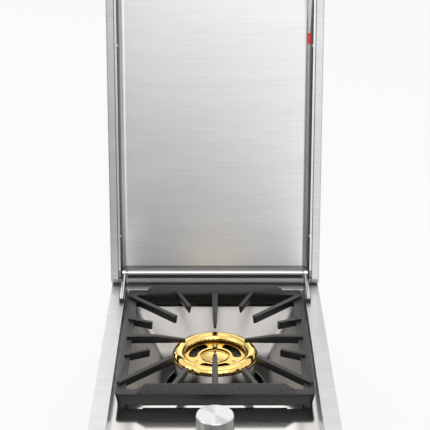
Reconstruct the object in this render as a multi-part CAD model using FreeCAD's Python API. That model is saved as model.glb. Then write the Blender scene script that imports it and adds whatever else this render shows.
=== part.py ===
import FreeCAD, Part
import math
import os

# Built in side burner with its lid open.
# Sizes are in millimetres. X runs to the right, Y to the back and Z up.
# The origin is the centre of the top frame, in the plane of the counter that its flange rests on.

Vector = FreeCAD.Vector
UP = Vector(0, 0, 1)

# Clearances
running_gap = 0.05
seat_gap = 0.1
loose_gap = 0.3

# Top frame
frame_width = 356.0
frame_depth = 550.0
frame_sheet = 1.5
side_flange = 25.0
front_flange = 25.0
rear_flange = 46.0
wall_sheet = 1.2
frame_corner = 2.0
opening_corner = 3.0
edge_round = 0.6

# Deck, the polished plate at the foot of the frame's wall
deck_drop = 24.0
deck_sheet = 1.2

# Drip bowl
bowl_inside_rails = 10.0
bowl_inside_end_rails = 12.2
bowl_floor_size = 172.0
bowl_floor_drop = 85.0
bowl_rim_corner = 14.0
bowl_floor_corner = 6.0
bowl_sheet = 1.0
bowl_flange = 8.0
well_radius = 79.5
well_collar = 8.0

# Box under the counter
box_depth = 180.0
box_sheet = 1.2
floor_flange = 12.0
panel_screw_head_radius = 3.5
panel_screw_head_height = 1.8
panel_screw_shank_radius = 2.0
panel_screw_spacing = 140.0
panel_screws_per_side = 4
vent_count = 5
vent_length = 50.0
vent_height = 6.0
vent_spacing = 80.0
vent_z = -150.0

# Burner
burner_y = 51.0
ring_centre_radius = 58.1
ring_tube_radius = 11.05
ring_foot_drop = 31.0
ring_casting = 4.65
ring_web_thickness = 2.5
ring_port_count = 48
ring_port_radius = 0.95
ring_port_lift = 30.0
ring_inner_port_count = 44
ring_inner_port_radius = 1.05
ring_inner_port_lift = 23.0
notch_width = 9.0
notch_depth = 6.5
notch_wall = 2.0
window_inner_radius = 28.0
window_outer_radius = 42.5
window_half_angle = 28.0
cap_flange_radius = 24.0
cap_flange_height = 1.0
cap_dome_radius = 21.5
cap_dome_side = 1.6
cap_dome_rise = 3.9
cap_dome_round = 1.2
cap_cavity_radius = 18.0
cap_spigot_length = 3.0
cap_port_count = 20
cap_port_radius = 0.6
ring_screw_circle = 34.0
ring_screw_head_radius = 2.5
ring_screw_head_height = 1.8
ring_screw_shank_radius = 1.5
ring_screw_length = 14.0
base_radius = 66.0
base_taper = 2.5
base_wall = 2.5
base_floor_drop = 62.0
base_floor = 3.0
base_inner_wall_radius = 49.0
base_hub_radius = 26.0
base_hub_wall = 4.5
base_spoke_width = 22.0
base_boss_radius = 4.5
throat_radius = 15.0
throat_flange_radius = 25.0
throat_flange = 3.0

# Bridge that carries the burner
bridge_drop = 98.5
bridge_sheet = 2.0
bridge_width = 36.0
bridge_flange = 8.0
bridge_tab = 14.0
bridge_screw_circle = 20.0
bridge_screw_head_radius = 3.2
bridge_screw_head_height = 2.0
bridge_screw_shank_radius = 2.0

# Mixing tube and air shutter
venturi_radius = 13.0
venturi_wall = 1.5
venturi_drop = 136.5
venturi_bend = 30.0
venturi_mouth_gap = 14.0
shutter_length = 24.0
shutter_wall = 1.2
shutter_window = 10.0
shutter_screw_radius = 2.0
shutter_screw_length = 6.0

# Valve, on a vertical stem
valve_from_wall = 54.0
bracket_plate_drop = 36.0
bracket_sheet = 1.5
bracket_half_width = 38.0
bracket_depth = 34.0
bracket_flange = 12.0
bonnet_radius = 13.0
bonnet_flange_height = 6.0
bonnet_nose_radius = 8.5
bonnet_nose_height = 7.0
valve_radius = 15.0
valve_bottom_drop = 86.0
valve_floor = 4.0
plug_radius = 9.0
plug_top_drop = 59.5
plug_slot_width = 3.4
plug_slot_depth = 12.0
plug_port_radius = 2.2
stem_radius = 4.0
stem_tang_width = 2.8
stem_tang_depth = 8.0
stem_travel = 3.0
washer_radius = 8.4
washer_height = 1.5
spring_coil_radius = 6.4
spring_wire_radius = 0.6
spring_coils = 5
bush_flange_radius = 10.0
bush_flange_height = 1.0
bush_body_radius = 7.0
bush_length = 3.4

# Knob
knob_radius = 27.35
knob_height = 27.0
knob_top_rise = 10.0
knob_edge = 1.4
knob_wall = 3.0
knob_top = 4.0
knob_hub_radius = 8.0
knob_bore_depth = 16.0

# Gas line
feed_radius = 4.0
feed_wall = 1.2
feed_bend = 12.0
feed_run = 54.0
orifice_radius = 6.0
orifice_length = 18.0
orifice_hole_radius = 0.8
valve_inlet_drop = 72.0
valve_inlet_radius = 8.0
valve_inlet_length = 9.0
supply_radius = 6.0
supply_wall = 1.2
supply_bend = 18.0
supply_from_side = 43.0
supply_drop = 152.0
inlet_thread_radius = 7.94
inlet_thread_length = 18.0
inlet_hex_radius = 12.0
inlet_hex_length = 8.0
inlet_inside_length = 8.0

# Spark ignition
piezo_x = 27.0
piezo_radius = 8.0
piezo_length = 45.0
lead_radius = 1.75
lead_bend = 20.0
lead_drop = 160.0
electrode_from_cup = 7.0
electrode_radius = 3.0
electrode_top_drop = 35.5
electrode_length = 44.0
tip_radius = 0.8
tip_height = 9.0
tip_reach = 3.6
electrode_tab_drop = 50.0
electrode_tab_sheet = 1.5
electrode_tab_width = 14.0
electrode_tab_end = 6.0

# Grate
grate_side_gap = 5.0
grate_back_gap = 3.0
rail_width = 16.0
rail_plate = 5.0
rail_skirt = 4.5
rail_drop = 20.9
rail_draft = 3.6
rail_arch = 2.0
arch_from_side = 15.5
arch_length = 25.5
grate_corner = 8.0
leg_size = 11.0
leg_inset = 3.7
leg_round = 4.0
ridge_height = 13.4
ridge_from_side = 31.0
ridge_end_slope = 13.3
ridge_top_width = 2.6
finger_rise = 5.6
finger_depth = 12.7
finger_draft = 2.0
finger_edge = 1.0
finger_root_inset = 8.0
centre_finger_width = 10.3
centre_finger_tip_width = 7.4
finger_dip = 6.5
finger_dip_length = 30.0
side_finger_bend = 94.5
side_finger_tip = 46.9
centre_finger_tip = 48.0
diagonal_width = 8.4
diagonal_root_inset = 4.0
diagonal_root_y = 147.0
diagonal_tip_x = 64.5
diagonal_tip_y = 67.0
side_short_width = 7.1
side_short_tip_x = 102.5
side_short_tip_y = 45.5
side_short_root_y = 62.0
rail_short_width = 6.4
rail_short_tip_x = 42.3
rail_short_tip_y = 104.0
rail_short_root_x = 67.0

# Hinge axis, and the lean of the open lid past upright
pivot_from_back = 19.0
pivot_rise = 19.5
lid_lean = 8.5

# Hinge arms, fixed on the frame
arm_from_side = 21.0
arm_thickness = 6.0
arm_length = 78.0
arm_front_bottom = 3.0
arm_front_top = 8.3
arm_back_bottom = 14.3
arm_back_top = 21.5
arm_edge_round = 2.4
knuckle_radius = 5.5
foot_wall = 0.7
foot_front = 2.0
foot_depth = 12.0
foot_height = 7.8

# Lid, measured from the hinge axis: s runs up the open lid, t runs to its back
lid_overhang = 1.0
lid_sheet = 1.2
lid_rim_t = -16.2
lid_skin_t = 17.8
lid_low_s = -18.0
lid_back_corner = 14.0
lid_chamfer = 11.4
lid_edge_round = 2.0
rim_width = 13.7
notch_gap_inside = 0.6
notch_gap_outside = 1.5
notch_low_s = -14.6

# Lid's inner panel
liner_sheet = 1.0
liner_from_side = 16.0
liner_panel_t = 5.0
liner_low_s = -7.5
liner_from_end = 16.0
liner_side_round = 12.0
liner_low_round = 8.0
liner_floor_front_t = -12.0
liner_flange = 9.0
slot_gap_inside = 3.0
slot_gap_outside = 1.4
slot_top_s = 7.3

# Hinge rod and the lid's small parts
rod_radius = 4.0
rod_end_gap = 3.0
neck_radius = 3.0
hinge_screw_gap = 3.2
hinge_screw_radius = 2.2
hinge_screw_height = 1.5
liner_screw_radius = 2.6
liner_screw_height = 1.6
liner_screw_t = -9.0
liner_screw_low_s = 68.0
liner_screw_from_end = 122.0
bumper_radius = 4.0
bumper_height = 3.0
bumper_from_side = 7.0
bumper_from_end = 26.0
handle_radius = 10.0
handle_wall = 1.5
handle_from_side = 49.0
handle_cap_depth = 8.0
handle_cap_rim = 1.5
handle_from_end = 41.0
handle_stand_off = 42.0
post_radius = 6.0
post_from_handle_end = 30.0
handle_screw_head_radius = 5.0
handle_screw_head_height = 3.0

# Rod kept in the lid's right side
wand_from_wall = 7.5
wand_t = -10.0
wand_tip_from_end = 119.0
wand_tip_length = 18.0
wand_tip_radius = 3.3
wand_neck_radius = 1.7
wand_taper_length = 58.0
wand_grip_radius = 5.25
wand_grip_length = 34.0
clip_wall = 1.2
clip_length = 20.0
clip_from_end = 6.0

# Levels and edges that follow from the sizes above
top_z = frame_sheet
deck_z = top_z - deck_drop
deck_under_z = deck_z - deck_sheet
opening_x = frame_width / 2 - side_flange
opening_front = front_flange - frame_depth / 2
opening_back = frame_depth / 2 - rear_flange
wall_x = opening_x + wall_sheet
wall_front = opening_front - wall_sheet
wall_back = opening_back + wall_sheet
grate_y = burner_y
grate_width = 2 * (opening_x - grate_side_gap)
grate_depth = 2 * (opening_back - grate_y - grate_back_gap)
arch_end = grate_width / 2 - arch_from_side
arch_start = arch_end - arch_length
ridge_base_half = grate_width / 2 - ridge_from_side
ridge_top_half = ridge_base_half - ridge_end_slope
bowl_top_width = grate_width - 2 * bowl_inside_rails
bowl_top_depth = grate_depth - 2 * bowl_inside_end_rails
valve_y = opening_front + valve_from_wall
feed_end_y = valve_y + feed_run
venturi_mouth_y = feed_end_y + venturi_mouth_gap
box_inner_x = wall_x - box_sheet
supply_x = -(box_inner_x - supply_from_side)
box_inner_front = wall_front + box_sheet
box_inner_back = wall_back - box_sheet
floor_top_z = box_sheet - box_depth
bowl_floor_z = top_z - bowl_floor_drop
ring_z = top_z - ring_foot_drop
web_under_z = ring_z - ring_web_thickness
base_floor_z = top_z - base_floor_drop
base_under_z = base_floor_z - base_floor
base_hub_bore = base_hub_radius - base_hub_wall
cap_flange_top_z = web_under_z + cap_flange_height
electrode_circle = base_radius + electrode_from_cup
bridge_z = top_z - bridge_drop
venturi_z = top_z - venturi_drop
bracket_z = top_z - bracket_plate_drop
bonnet_z = bracket_z - bracket_sheet
valve_top_z = bonnet_z - bonnet_flange_height
valve_bottom_z = top_z - valve_bottom_drop
plug_top_z = top_z - plug_top_drop
washer_top_z = valve_top_z - loose_gap
knob_top_z = top_z + knob_top_rise
knob_bottom_z = knob_top_z - knob_height
stem_top_z = knob_bottom_z + knob_bore_depth - loose_gap
valve_inlet_z = top_z - valve_inlet_drop
supply_z = top_z - supply_drop
pivot_y = frame_depth / 2 - pivot_from_back
pivot = Vector(0, pivot_y, top_z + pivot_rise)
arm_x = frame_width / 2 - arm_from_side
arm_inside_x = arm_x - arm_thickness / 2
arm_outside_x = arm_x + arm_thickness / 2
arm_front_y = pivot_y - arm_length
lid_width = frame_width + 2 * lid_overhang
lid_high_s = pivot_y + frame_depth / 2
notch_low_x = arm_inside_x - notch_gap_inside
notch_high_x = arm_outside_x + notch_gap_outside
slot_low_x = arm_inside_x - slot_gap_inside
slot_high_x = arm_outside_x + slot_gap_outside
rod_half_length = arm_inside_x - rod_end_gap
hinge_screw_x = arm_inside_x - hinge_screw_gap
liner_half_width = lid_width / 2 - liner_from_side
liner_high_s = lid_high_s - liner_from_end
liner_screw_high_s = liner_high_s - liner_screw_from_end
bumper_x = lid_width / 2 - bumper_from_side
bumper_s = lid_high_s - bumper_from_end
handle_s = lid_high_s - handle_from_end
handle_length = lid_width - 2 * handle_from_side
post_spacing = handle_length - 2 * post_from_handle_end
wand_x = liner_half_width - wand_from_wall
wand_tip_s = liner_high_s - wand_tip_from_end
liner_floor_under_s = liner_low_s - liner_sheet
wand_grip_s = wand_tip_s + wand_tip_length + wand_taper_length
wand_end_s = wand_grip_s + wand_grip_length


def block(x, y, z):
    """Box between pairs of limits."""
    low = Vector(min(x), min(y), min(z))
    return Part.makeBox(max(x) - min(x), max(y) - min(y), max(z) - min(z), low)


def bar(radius, start, end):
    """Round bar between two points."""
    run = end.sub(start)
    return Part.makeCylinder(radius, run.Length, start, run)


def pipe(radius, wall, start, end):
    """Straight tube between two points."""
    return bar(radius, start, end).cut(bar(radius - wall, start, end))


def hexagon(radius, start, end):
    """Hexagonal bar between two points, with its radius to the corners."""
    run = end.sub(start)
    turn = FreeCAD.Rotation(UP, run)
    corners = []
    for side in range(7):
        angle = math.radians(60 * side)
        corner = Vector(radius * math.cos(angle), radius * math.sin(angle), 0)
        corners.append(turn.multVec(corner).add(start))
    return Part.Face(Part.makePolygon(corners)).extrude(run)


def turned(outline, centre):
    """Solid turned about a vertical axis from an outline of (radius, z) points."""
    points = [Vector(radius, 0, z) for radius, z in outline]
    face = Part.Face(Part.makePolygon(points + points[:1]))
    solid = face.revolve(Vector(0, 0, 0), UP, 360)
    solid.translate(centre)
    return solid


def plate_along_x(outline, x):
    """Plate between two X limits from an outline of (y, z) points."""
    points = [Vector(min(x), y, z) for y, z in outline]
    face = Part.Face(Part.makePolygon(points + points[:1]))
    return face.extrude(Vector(max(x) - min(x), 0, 0))


def mirrored(shape):
    """Copy on the other side of the middle plane."""
    return shape.mirror(Vector(0, 0, 0), Vector(1, 0, 0))


def both_sides(shape):
    """The shape and its mirror copy, kept as separate solids."""
    return Part.makeCompound([shape, mirrored(shape)])


def joined(shapes):
    """One solid made of shapes that meet."""
    whole = shapes[0].multiFuse(shapes[1:])
    return whole.removeSplitter()


def tapered_block(half_x, half_y, z, centre_y):
    """Block with straight sides between a lower and an upper rectangle."""
    wires = []
    for level in range(2):
        corners = []
        for sign_x, sign_y in ((-1, -1), (1, -1), (1, 1), (-1, 1), (-1, -1)):
            corner = Vector(sign_x * half_x[level], centre_y + sign_y * half_y[level], z[level])
            corners.append(corner)
        wires.append(Part.makePolygon(corners))
    return Part.makeLoft(wires, True, True)


def rounded_taper(half_x, half_y, radius, z, centre_y):
    """Block like the tapered one, with its corners rounded by a radius for each level."""
    wires = []
    for level in range(2):
        x = half_x[level]
        y = half_y[level]
        corner = radius[level]
        diagonal = corner / math.sqrt(2)
        arcs = []
        for sign_x, sign_y in ((1, 1), (-1, 1), (-1, -1), (1, -1)):
            centre = Vector(sign_x * (x - corner), centre_y + sign_y * (y - corner), z[level])
            on_side = centre.add(Vector(sign_x * corner, 0, 0))
            on_end = centre.add(Vector(0, sign_y * corner, 0))
            middle = centre.add(Vector(sign_x * diagonal, sign_y * diagonal, 0))
            arcs.append((on_side, middle, on_end) if sign_x == sign_y else (on_end, middle, on_side))
        edges = []
        for step, (start, middle, end) in enumerate(arcs):
            edges.append(Part.Arc(start, middle, end).toShape())
            edges.append(Part.LineSegment(end, arcs[(step + 1) % 4][0]).toShape())
        wires.append(Part.Wire(edges))
    return Part.makeLoft(wires, True, True)


def round_edges(shape, radius, chosen):
    """Fillet the edges whose middle point passes the test."""
    edges = [edge for edge in shape.Edges if chosen(edge.BoundBox)]
    return shape.makeFillet(radius, edges)


def is_upright(box):
    """True for an edge that runs along Z."""
    return box.XLength < 0.01 and box.YLength < 0.01 and box.ZLength > 0.1


def upright_rounded_block(x, y, z, radius):
    """Block whose four upright edges are rounded."""
    return round_edges(block(x, y, z), radius, is_upright)


def bent_bar(points, radius, bend):
    """Round bar along straight runs joined by tangent arcs."""
    edges = []
    start = points[0]
    for before, corner, after in zip(points, points[1:], points[2:]):
        back = before.sub(corner).normalize()
        ahead = after.sub(corner).normalize()
        half_turn = (math.pi - back.getAngle(ahead)) / 2
        setback = bend * math.tan(half_turn)
        enter = corner.add(back * setback)
        leave = corner.add(ahead * setback)
        middle_way = back.add(ahead).normalize()
        centre = corner.add(middle_way * (bend / math.cos(half_turn)))
        middle = centre.sub(middle_way * bend)
        edges.append(Part.LineSegment(start, enter).toShape())
        edges.append(Part.Arc(enter, middle, leave).toShape())
        start = leave
    edges.append(Part.LineSegment(start, points[-1]).toShape())
    path = Part.Wire(edges)
    first_run = points[1].sub(points[0])
    section = Part.Wire([Part.makeCircle(radius, points[0], first_run)])
    return path.makePipeShell([section], True, False)


def bent_pipe(points, radius, wall, bend):
    """Tube along straight runs joined by tangent arcs."""
    return bent_bar(points, radius, bend).cut(bent_bar(points, radius - wall, bend))


def around(count, circle, angle_offset=0.0):
    """Points on a circle about the burner's axis, with the angle of each."""
    for step in range(count):
        angle = math.radians(angle_offset + 360.0 * step / count)
        yield circle * math.cos(angle), burner_y + circle * math.sin(angle), angle


def in_lid(shape):
    """Place a shape, drawn with t along Y and s along Z, in the open lid."""
    placed = shape.copy()
    placed.rotate(Vector(0, 0, 0), Vector(1, 0, 0), -lid_lean)
    placed.translate(pivot)
    return placed


def top_frame():
    """Flange with the wall that drops to the deck."""
    half = frame_width / 2
    flange = upright_rounded_block((-half, half), (-frame_depth / 2, frame_depth / 2), (0, top_z), frame_corner)
    wall = upright_rounded_block((-wall_x, wall_x), (wall_front, wall_back), (deck_z, 0), opening_corner + wall_sheet)
    opening = upright_rounded_block(
        (-opening_x, opening_x), (opening_front, opening_back), (deck_z - 1, top_z + 1), opening_corner)
    frame = flange.fuse(wall).cut(opening).removeSplitter()
    return round_edges(frame, edge_round, lambda box: box.ZMin > top_z - 0.01)


def deck_plate():
    """Polished plate with openings for the bowl and for the stem's bush."""
    plate = upright_rounded_block(
        (-wall_x, wall_x), (wall_front, wall_back), (deck_under_z, deck_z), opening_corner + wall_sheet)
    half_depth = bowl_top_depth / 2
    opening = upright_rounded_block(
        (-bowl_top_width / 2, bowl_top_width / 2),
        (burner_y - half_depth, burner_y + half_depth),
        (deck_under_z - 1, deck_z + 1), bowl_rim_corner)
    stem_hole = bar(bush_body_radius + seat_gap, Vector(0, valve_y, deck_under_z - 1), Vector(0, valve_y, deck_z + 1))
    return plate.cut(opening).cut(stem_hole)


def drip_bowl():
    """Four sloping walls from the deck to a floor with a round well."""
    top_half_x = bowl_top_width / 2
    top_half_y = bowl_top_depth / 2
    floor_half = bowl_floor_size / 2
    inside = rounded_taper(
        (floor_half, top_half_x), (floor_half, top_half_y), (bowl_floor_corner, bowl_rim_corner),
        (bowl_floor_z, deck_under_z), burner_y)
    outside = rounded_taper(
        (floor_half + bowl_sheet, top_half_x + bowl_sheet),
        (floor_half + bowl_sheet, top_half_y + bowl_sheet),
        (bowl_floor_corner + bowl_sheet, bowl_rim_corner + bowl_sheet),
        (bowl_floor_z - bowl_sheet, deck_under_z), burner_y)
    reach_x = top_half_x + bowl_flange
    reach_y = top_half_y + bowl_flange
    flange = block(
        (-reach_x, reach_x), (burner_y - reach_y, burner_y + reach_y), (deck_under_z - bowl_sheet, deck_under_z))
    collar_bottom = bowl_floor_z - well_collar
    collar = bar(
        well_radius + bowl_sheet, Vector(0, burner_y, collar_bottom), Vector(0, burner_y, bowl_floor_z))
    well = bar(well_radius, Vector(0, burner_y, collar_bottom - 1), Vector(0, burner_y, bowl_floor_z + 1))
    return joined([outside, flange, collar]).cut(inside).cut(well)


def side_panel():
    """Right side of the box, with its vent slots and screw holes."""
    panel = block((box_inner_x, wall_x), (wall_front, wall_back), (-box_depth, deck_under_z))
    for step in range(vent_count):
        middle = (step - (vent_count - 1) / 2) * vent_spacing
        slot = block(
            (box_inner_x - 1, wall_x + 1),
            (middle - vent_length / 2, middle + vent_length / 2),
            (vent_z - vent_height / 2, vent_z + vent_height / 2))
        panel = panel.cut(slot)
    for y, z in panel_screw_places():
        hole = bar(panel_screw_shank_radius + seat_gap, Vector(box_inner_x - 1, y, z), Vector(wall_x + 1, y, z))
        panel = panel.cut(hole)
    return panel


def panel_screw_places():
    """Y and Z of the screws along one side."""
    z = floor_top_z + floor_flange / 2
    for step in range(panel_screws_per_side):
        yield (step - (panel_screws_per_side - 1) / 2) * panel_screw_spacing, z


def panel_screws():
    """Pan head screws that join the floor's flanges to the side panels."""
    screws = []
    for y, z in panel_screw_places():
        outer = wall_x + panel_screw_head_height
        inner = box_inner_x - box_sheet - loose_gap
        head = bar(panel_screw_head_radius, Vector(wall_x, y, z), Vector(outer, y, z))
        head = round_edges(head, panel_screw_head_height * 0.4, lambda box: box.XMin > outer - 0.01)
        shank = bar(panel_screw_shank_radius, Vector(inner, y, z), Vector(wall_x, y, z))
        screw = joined([head, shank])
        screws.extend([screw, mirrored(screw)])
    return Part.makeCompound(screws)


def front_panel():
    """Front of the box, between the side panels."""
    return block((-box_inner_x, box_inner_x), (wall_front, box_inner_front), (-box_depth, deck_under_z))


def rear_panel():
    """Back of the box, with the hole for the gas inlet."""
    panel = block((-box_inner_x, box_inner_x), (box_inner_back, wall_back), (-box_depth, deck_under_z))
    hole_radius = inlet_thread_radius + loose_gap
    hole = bar(hole_radius, Vector(supply_x, box_inner_back - 1, supply_z), Vector(supply_x, wall_back + 1, supply_z))
    return panel.cut(hole)


def floor_panel():
    """Bottom of the box, with flanges turned up inside the side panels."""
    length = (box_inner_front, box_inner_back)
    flange_x = box_inner_x - box_sheet
    floor = block((-box_inner_x, box_inner_x), length, (-box_depth, floor_top_z))
    flange = block((flange_x, box_inner_x), length, (floor_top_z, floor_top_z + floor_flange))
    for y, z in panel_screw_places():
        hole = bar(panel_screw_shank_radius + seat_gap, Vector(flange_x - 1, y, z), Vector(box_inner_x + 1, y, z))
        flange = flange.cut(hole)
    return joined([floor, flange, mirrored(flange)])


def ring_section():
    """Half section of the brass ring: a round crown on the same plane as the web's top."""
    outer = ring_centre_radius + ring_tube_radius
    inner = ring_centre_radius - ring_tube_radius
    inside = ring_tube_radius - ring_casting
    crown = Part.Arc(
        Vector(outer, 0, ring_z), Vector(ring_centre_radius, 0, ring_z + ring_tube_radius), Vector(inner, 0, ring_z))
    hollow = Part.Arc(
        Vector(ring_centre_radius - inside, 0, ring_z),
        Vector(ring_centre_radius, 0, ring_z + inside),
        Vector(ring_centre_radius + inside, 0, ring_z))
    web_hole = cap_flange_radius + loose_gap
    corners = [
        Vector(inner, 0, ring_z), Vector(web_hole, 0, ring_z), Vector(web_hole, 0, web_under_z),
        Vector(base_inner_wall_radius, 0, web_under_z), Vector(ring_centre_radius - inside, 0, ring_z)]
    edges = [crown.toShape()]
    for start, end in zip(corners, corners[1:]):
        edges.append(Part.LineSegment(start, end).toShape())
    edges.append(hollow.toShape())
    foot = Part.LineSegment(Vector(ring_centre_radius + inside, 0, ring_z), Vector(outer, 0, ring_z))
    edges.append(foot.toShape())
    return Part.Face(Part.Wire(edges))


def web_window(middle_angle):
    """Opening in the web: a curved slot with round ends."""
    centre = Vector(0, burner_y, web_under_z - 1)
    height = ring_web_thickness + 2
    start = middle_angle - window_half_angle
    outer = Part.makeCylinder(window_outer_radius, height, centre, UP, 2 * window_half_angle)
    inner = Part.makeCylinder(window_inner_radius, height, centre, UP, 360)
    outer.rotate(centre, UP, start)
    end_circle = (window_inner_radius + window_outer_radius) / 2
    end_radius = (window_outer_radius - window_inner_radius) / 2
    ends = []
    for side in (-window_half_angle, window_half_angle):
        end = Part.makeCylinder(end_radius, height, Vector(end_circle, burner_y, centre.z), UP, 360)
        end.rotate(centre, UP, middle_angle + side)
        ends.append(end)
    return outer.cut(inner).multiFuse(ends)


def burner_ring():
    """Brass ring with its ports, its notch for the spark and three windows."""
    ring = ring_section().revolve(Vector(0, 0, 0), UP, 360)
    ring.translate(Vector(0, burner_y, 0))
    inside = ring_tube_radius - ring_casting
    back = burner_y + ring_centre_radius + ring_tube_radius
    notch_face = back - notch_depth
    lug = block(
        (-notch_width / 2 - notch_wall, notch_width / 2 + notch_wall),
        (notch_face - notch_wall, burner_y + ring_centre_radius + inside), (ring_z, ring_z + inside))
    ring = ring.fuse(lug)
    cuts = [web_window(angle) for angle in (30, 150, 270)]
    clear_of_notch = notch_width / 2 + ring_port_radius
    for x, y, angle in around(ring_port_count, ring_centre_radius, 180.0 / ring_port_count):
        rim_x = (ring_centre_radius + ring_tube_radius) * math.cos(angle)
        if y > burner_y and abs(rim_x) < clear_of_notch:
            continue
        cuts.append(ring_port(x, y, angle, 1, ring_port_lift, ring_port_radius))
    for x, y, angle in around(ring_inner_port_count, ring_centre_radius, 180.0 / ring_inner_port_count):
        cuts.append(ring_port(x, y, angle, -1, ring_inner_port_lift, ring_inner_port_radius))
    cuts.append(block(
        (-notch_width / 2, notch_width / 2), (notch_face, back + 1), (ring_z, ring_z + ring_tube_radius + 1)))
    spark_port_z = ring_z + inside / 2
    cuts.append(bar(
        ring_port_radius, Vector(0, burner_y + ring_centre_radius, spark_port_z), Vector(0, back, spark_port_z)))
    for x, y, angle in around(3, ring_screw_circle, 90):
        cuts.append(bar(ring_screw_shank_radius + seat_gap, Vector(x, y, web_under_z - 1), Vector(x, y, ring_z + 1)))
    return ring.cut(Part.makeCompound(cuts))


def ring_port(x, y, angle, outward, lift_angle, radius):
    """Drill for one port, out of the ring or in towards its middle."""
    lift = math.radians(lift_angle)
    level = outward * math.cos(lift)
    way = Vector(math.cos(angle) * level, math.sin(angle) * level, math.sin(lift))
    start = Vector(x, y, ring_z).add(way * (ring_tube_radius - ring_casting - 0.5))
    return Part.makeCylinder(radius, ring_casting + 1.5, start, way)


def burner_cap():
    """Centre cap: a flange on the hub, a low dome with small ports under its edge, and a spigot."""
    side_top = cap_flange_top_z + cap_dome_side
    apex = side_top + cap_dome_rise
    dome_sphere = (cap_dome_radius ** 2 + cap_dome_rise ** 2) / (2 * cap_dome_rise)
    half_way = cap_dome_radius / 2
    half_way_z = apex - dome_sphere + math.sqrt(dome_sphere ** 2 - half_way ** 2)
    spigot_radius = base_hub_bore - loose_gap
    spigot_bottom = web_under_z - cap_spigot_length
    corners = [
        (0, apex), (0, side_top), (cap_cavity_radius, side_top), (cap_cavity_radius, spigot_bottom),
        (spigot_radius, spigot_bottom), (spigot_radius, web_under_z), (cap_flange_radius, web_under_z),
        (cap_flange_radius, cap_flange_top_z), (cap_dome_radius, cap_flange_top_z), (cap_dome_radius, side_top)]
    points = [Vector(radius, 0, z) for radius, z in corners]
    edges = []
    for start, end in zip(points, points[1:]):
        edges.append(Part.LineSegment(start, end).toShape())
    edges.append(Part.Arc(points[-1], Vector(half_way, 0, half_way_z), points[0]).toShape())
    cap = Part.Face(Part.Wire(edges)).revolve(Vector(0, 0, 0), UP, 360)
    cap = round_edges(cap, cap_dome_round, lambda box: box.ZLength < 0.01 and abs(box.ZMin - side_top) < 0.01
                      and box.XMax > cap_dome_radius - 0.01)
    cap.translate(Vector(0, burner_y, 0))
    cuts = []
    port_z = cap_flange_top_z + cap_port_radius + seat_gap
    for x, y, angle in around(cap_port_count, cap_cavity_radius - 0.5):
        outward = Vector(math.cos(angle), math.sin(angle), 0)
        drill = cap_flange_radius - cap_cavity_radius
        cuts.append(Part.makeCylinder(cap_port_radius, drill, Vector(x, y, port_z), outward))
    return cap.cut(Part.makeCompound(cuts))


def ring_screws():
    """Three pan head screws through the web into the base's bosses."""
    screws = []
    for x, y, angle in around(3, ring_screw_circle, 90):
        head_top = ring_z + ring_screw_head_height
        head = bar(ring_screw_head_radius, Vector(x, y, ring_z), Vector(x, y, head_top))
        head = round_edges(head, ring_screw_head_height * 0.4, lambda box: box.ZMin > head_top - 0.01)
        shank = bar(ring_screw_shank_radius, Vector(x, y, ring_z - ring_screw_length), Vector(x, y, ring_z))
        screws.append(joined([head, shank]))
    return Part.makeCompound(screws)


def burner_base():
    """Cast cup that closes the ring's gas chamber, with its throat, hub, spokes and mounting flange."""
    centre = Vector(0, burner_y, 0)
    bore = venturi_radius - venturi_wall
    foot_radius = base_radius - base_taper
    floor = [(bore, base_under_z), (foot_radius, base_under_z), (cup_radius(base_floor_z), base_floor_z)]
    floor.append((bore, base_floor_z))
    outer_wall = [(foot_radius - base_wall, base_under_z), (foot_radius, base_under_z)]
    outer_wall += [(base_radius, ring_z), (base_radius - base_wall, ring_z)]
    inner_wall = [(base_inner_wall_radius - base_wall, base_under_z), (base_inner_wall_radius, base_under_z)]
    inner_wall += [(base_inner_wall_radius, web_under_z), (base_inner_wall_radius - base_wall, web_under_z)]
    hub = [(base_hub_bore, base_under_z), (base_hub_radius, base_under_z)]
    hub += [(base_hub_radius, web_under_z), (base_hub_bore, web_under_z)]
    throat = [(bore, bridge_z), (throat_radius, bridge_z), (throat_radius, base_floor_z), (bore, base_floor_z)]
    flange_top = bridge_z + throat_flange
    flange = [(bore, bridge_z), (throat_flange_radius, bridge_z), (throat_flange_radius, flange_top), (bore, flange_top)]
    parts = [turned(outline, centre) for outline in (floor, outer_wall, inner_wall, hub, throat, flange)]
    spoke_half = base_spoke_width / 2
    spoke_reach = (base_hub_radius - 1, base_inner_wall_radius - 1)
    passage_reach = (base_hub_bore - 2, base_inner_wall_radius + 1)
    passages = []
    for x, y, angle in around(3, ring_screw_circle, 90):
        spoke = block(spoke_reach, (-spoke_half, spoke_half), (base_under_z, web_under_z))
        passage = block(
            passage_reach, (base_wall - spoke_half, spoke_half - base_wall), (base_floor_z, web_under_z - base_wall))
        for shape in (spoke, passage):
            shape.rotate(Vector(0, 0, 0), UP, math.degrees(angle))
            shape.translate(centre)
        parts.append(spoke)
        passages.append(passage)
    base = joined(parts).cut(Part.makeCompound(passages))
    bosses = []
    for x, y, angle in around(3, ring_screw_circle, 90):
        bosses.append(bar(base_boss_radius, Vector(x, y, base_under_z), Vector(x, y, web_under_z)))
    base = joined([base] + bosses)
    for x, y, angle in around(3, ring_screw_circle, 90):
        bottom = ring_z - ring_screw_length - 1
        base = base.cut(bar(ring_screw_shank_radius + seat_gap, Vector(x, y, bottom), Vector(x, y, ring_z)))
    for x, y in bridge_screw_places():
        hole = bar(bridge_screw_shank_radius + seat_gap, Vector(x, y, bridge_z - 1), Vector(x, y, flange_top + 1))
        base = base.cut(hole)
    return base


def cup_radius(z):
    """Outer radius of the tapered cup at a level."""
    return base_radius - base_taper * (ring_z - z) / (ring_z - base_under_z)


def bridge_screw_places():
    """X and Y of the two screws that hold the burner on its bridge."""
    for sign in (-1, 1):
        yield sign * bridge_screw_circle, burner_y


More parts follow.
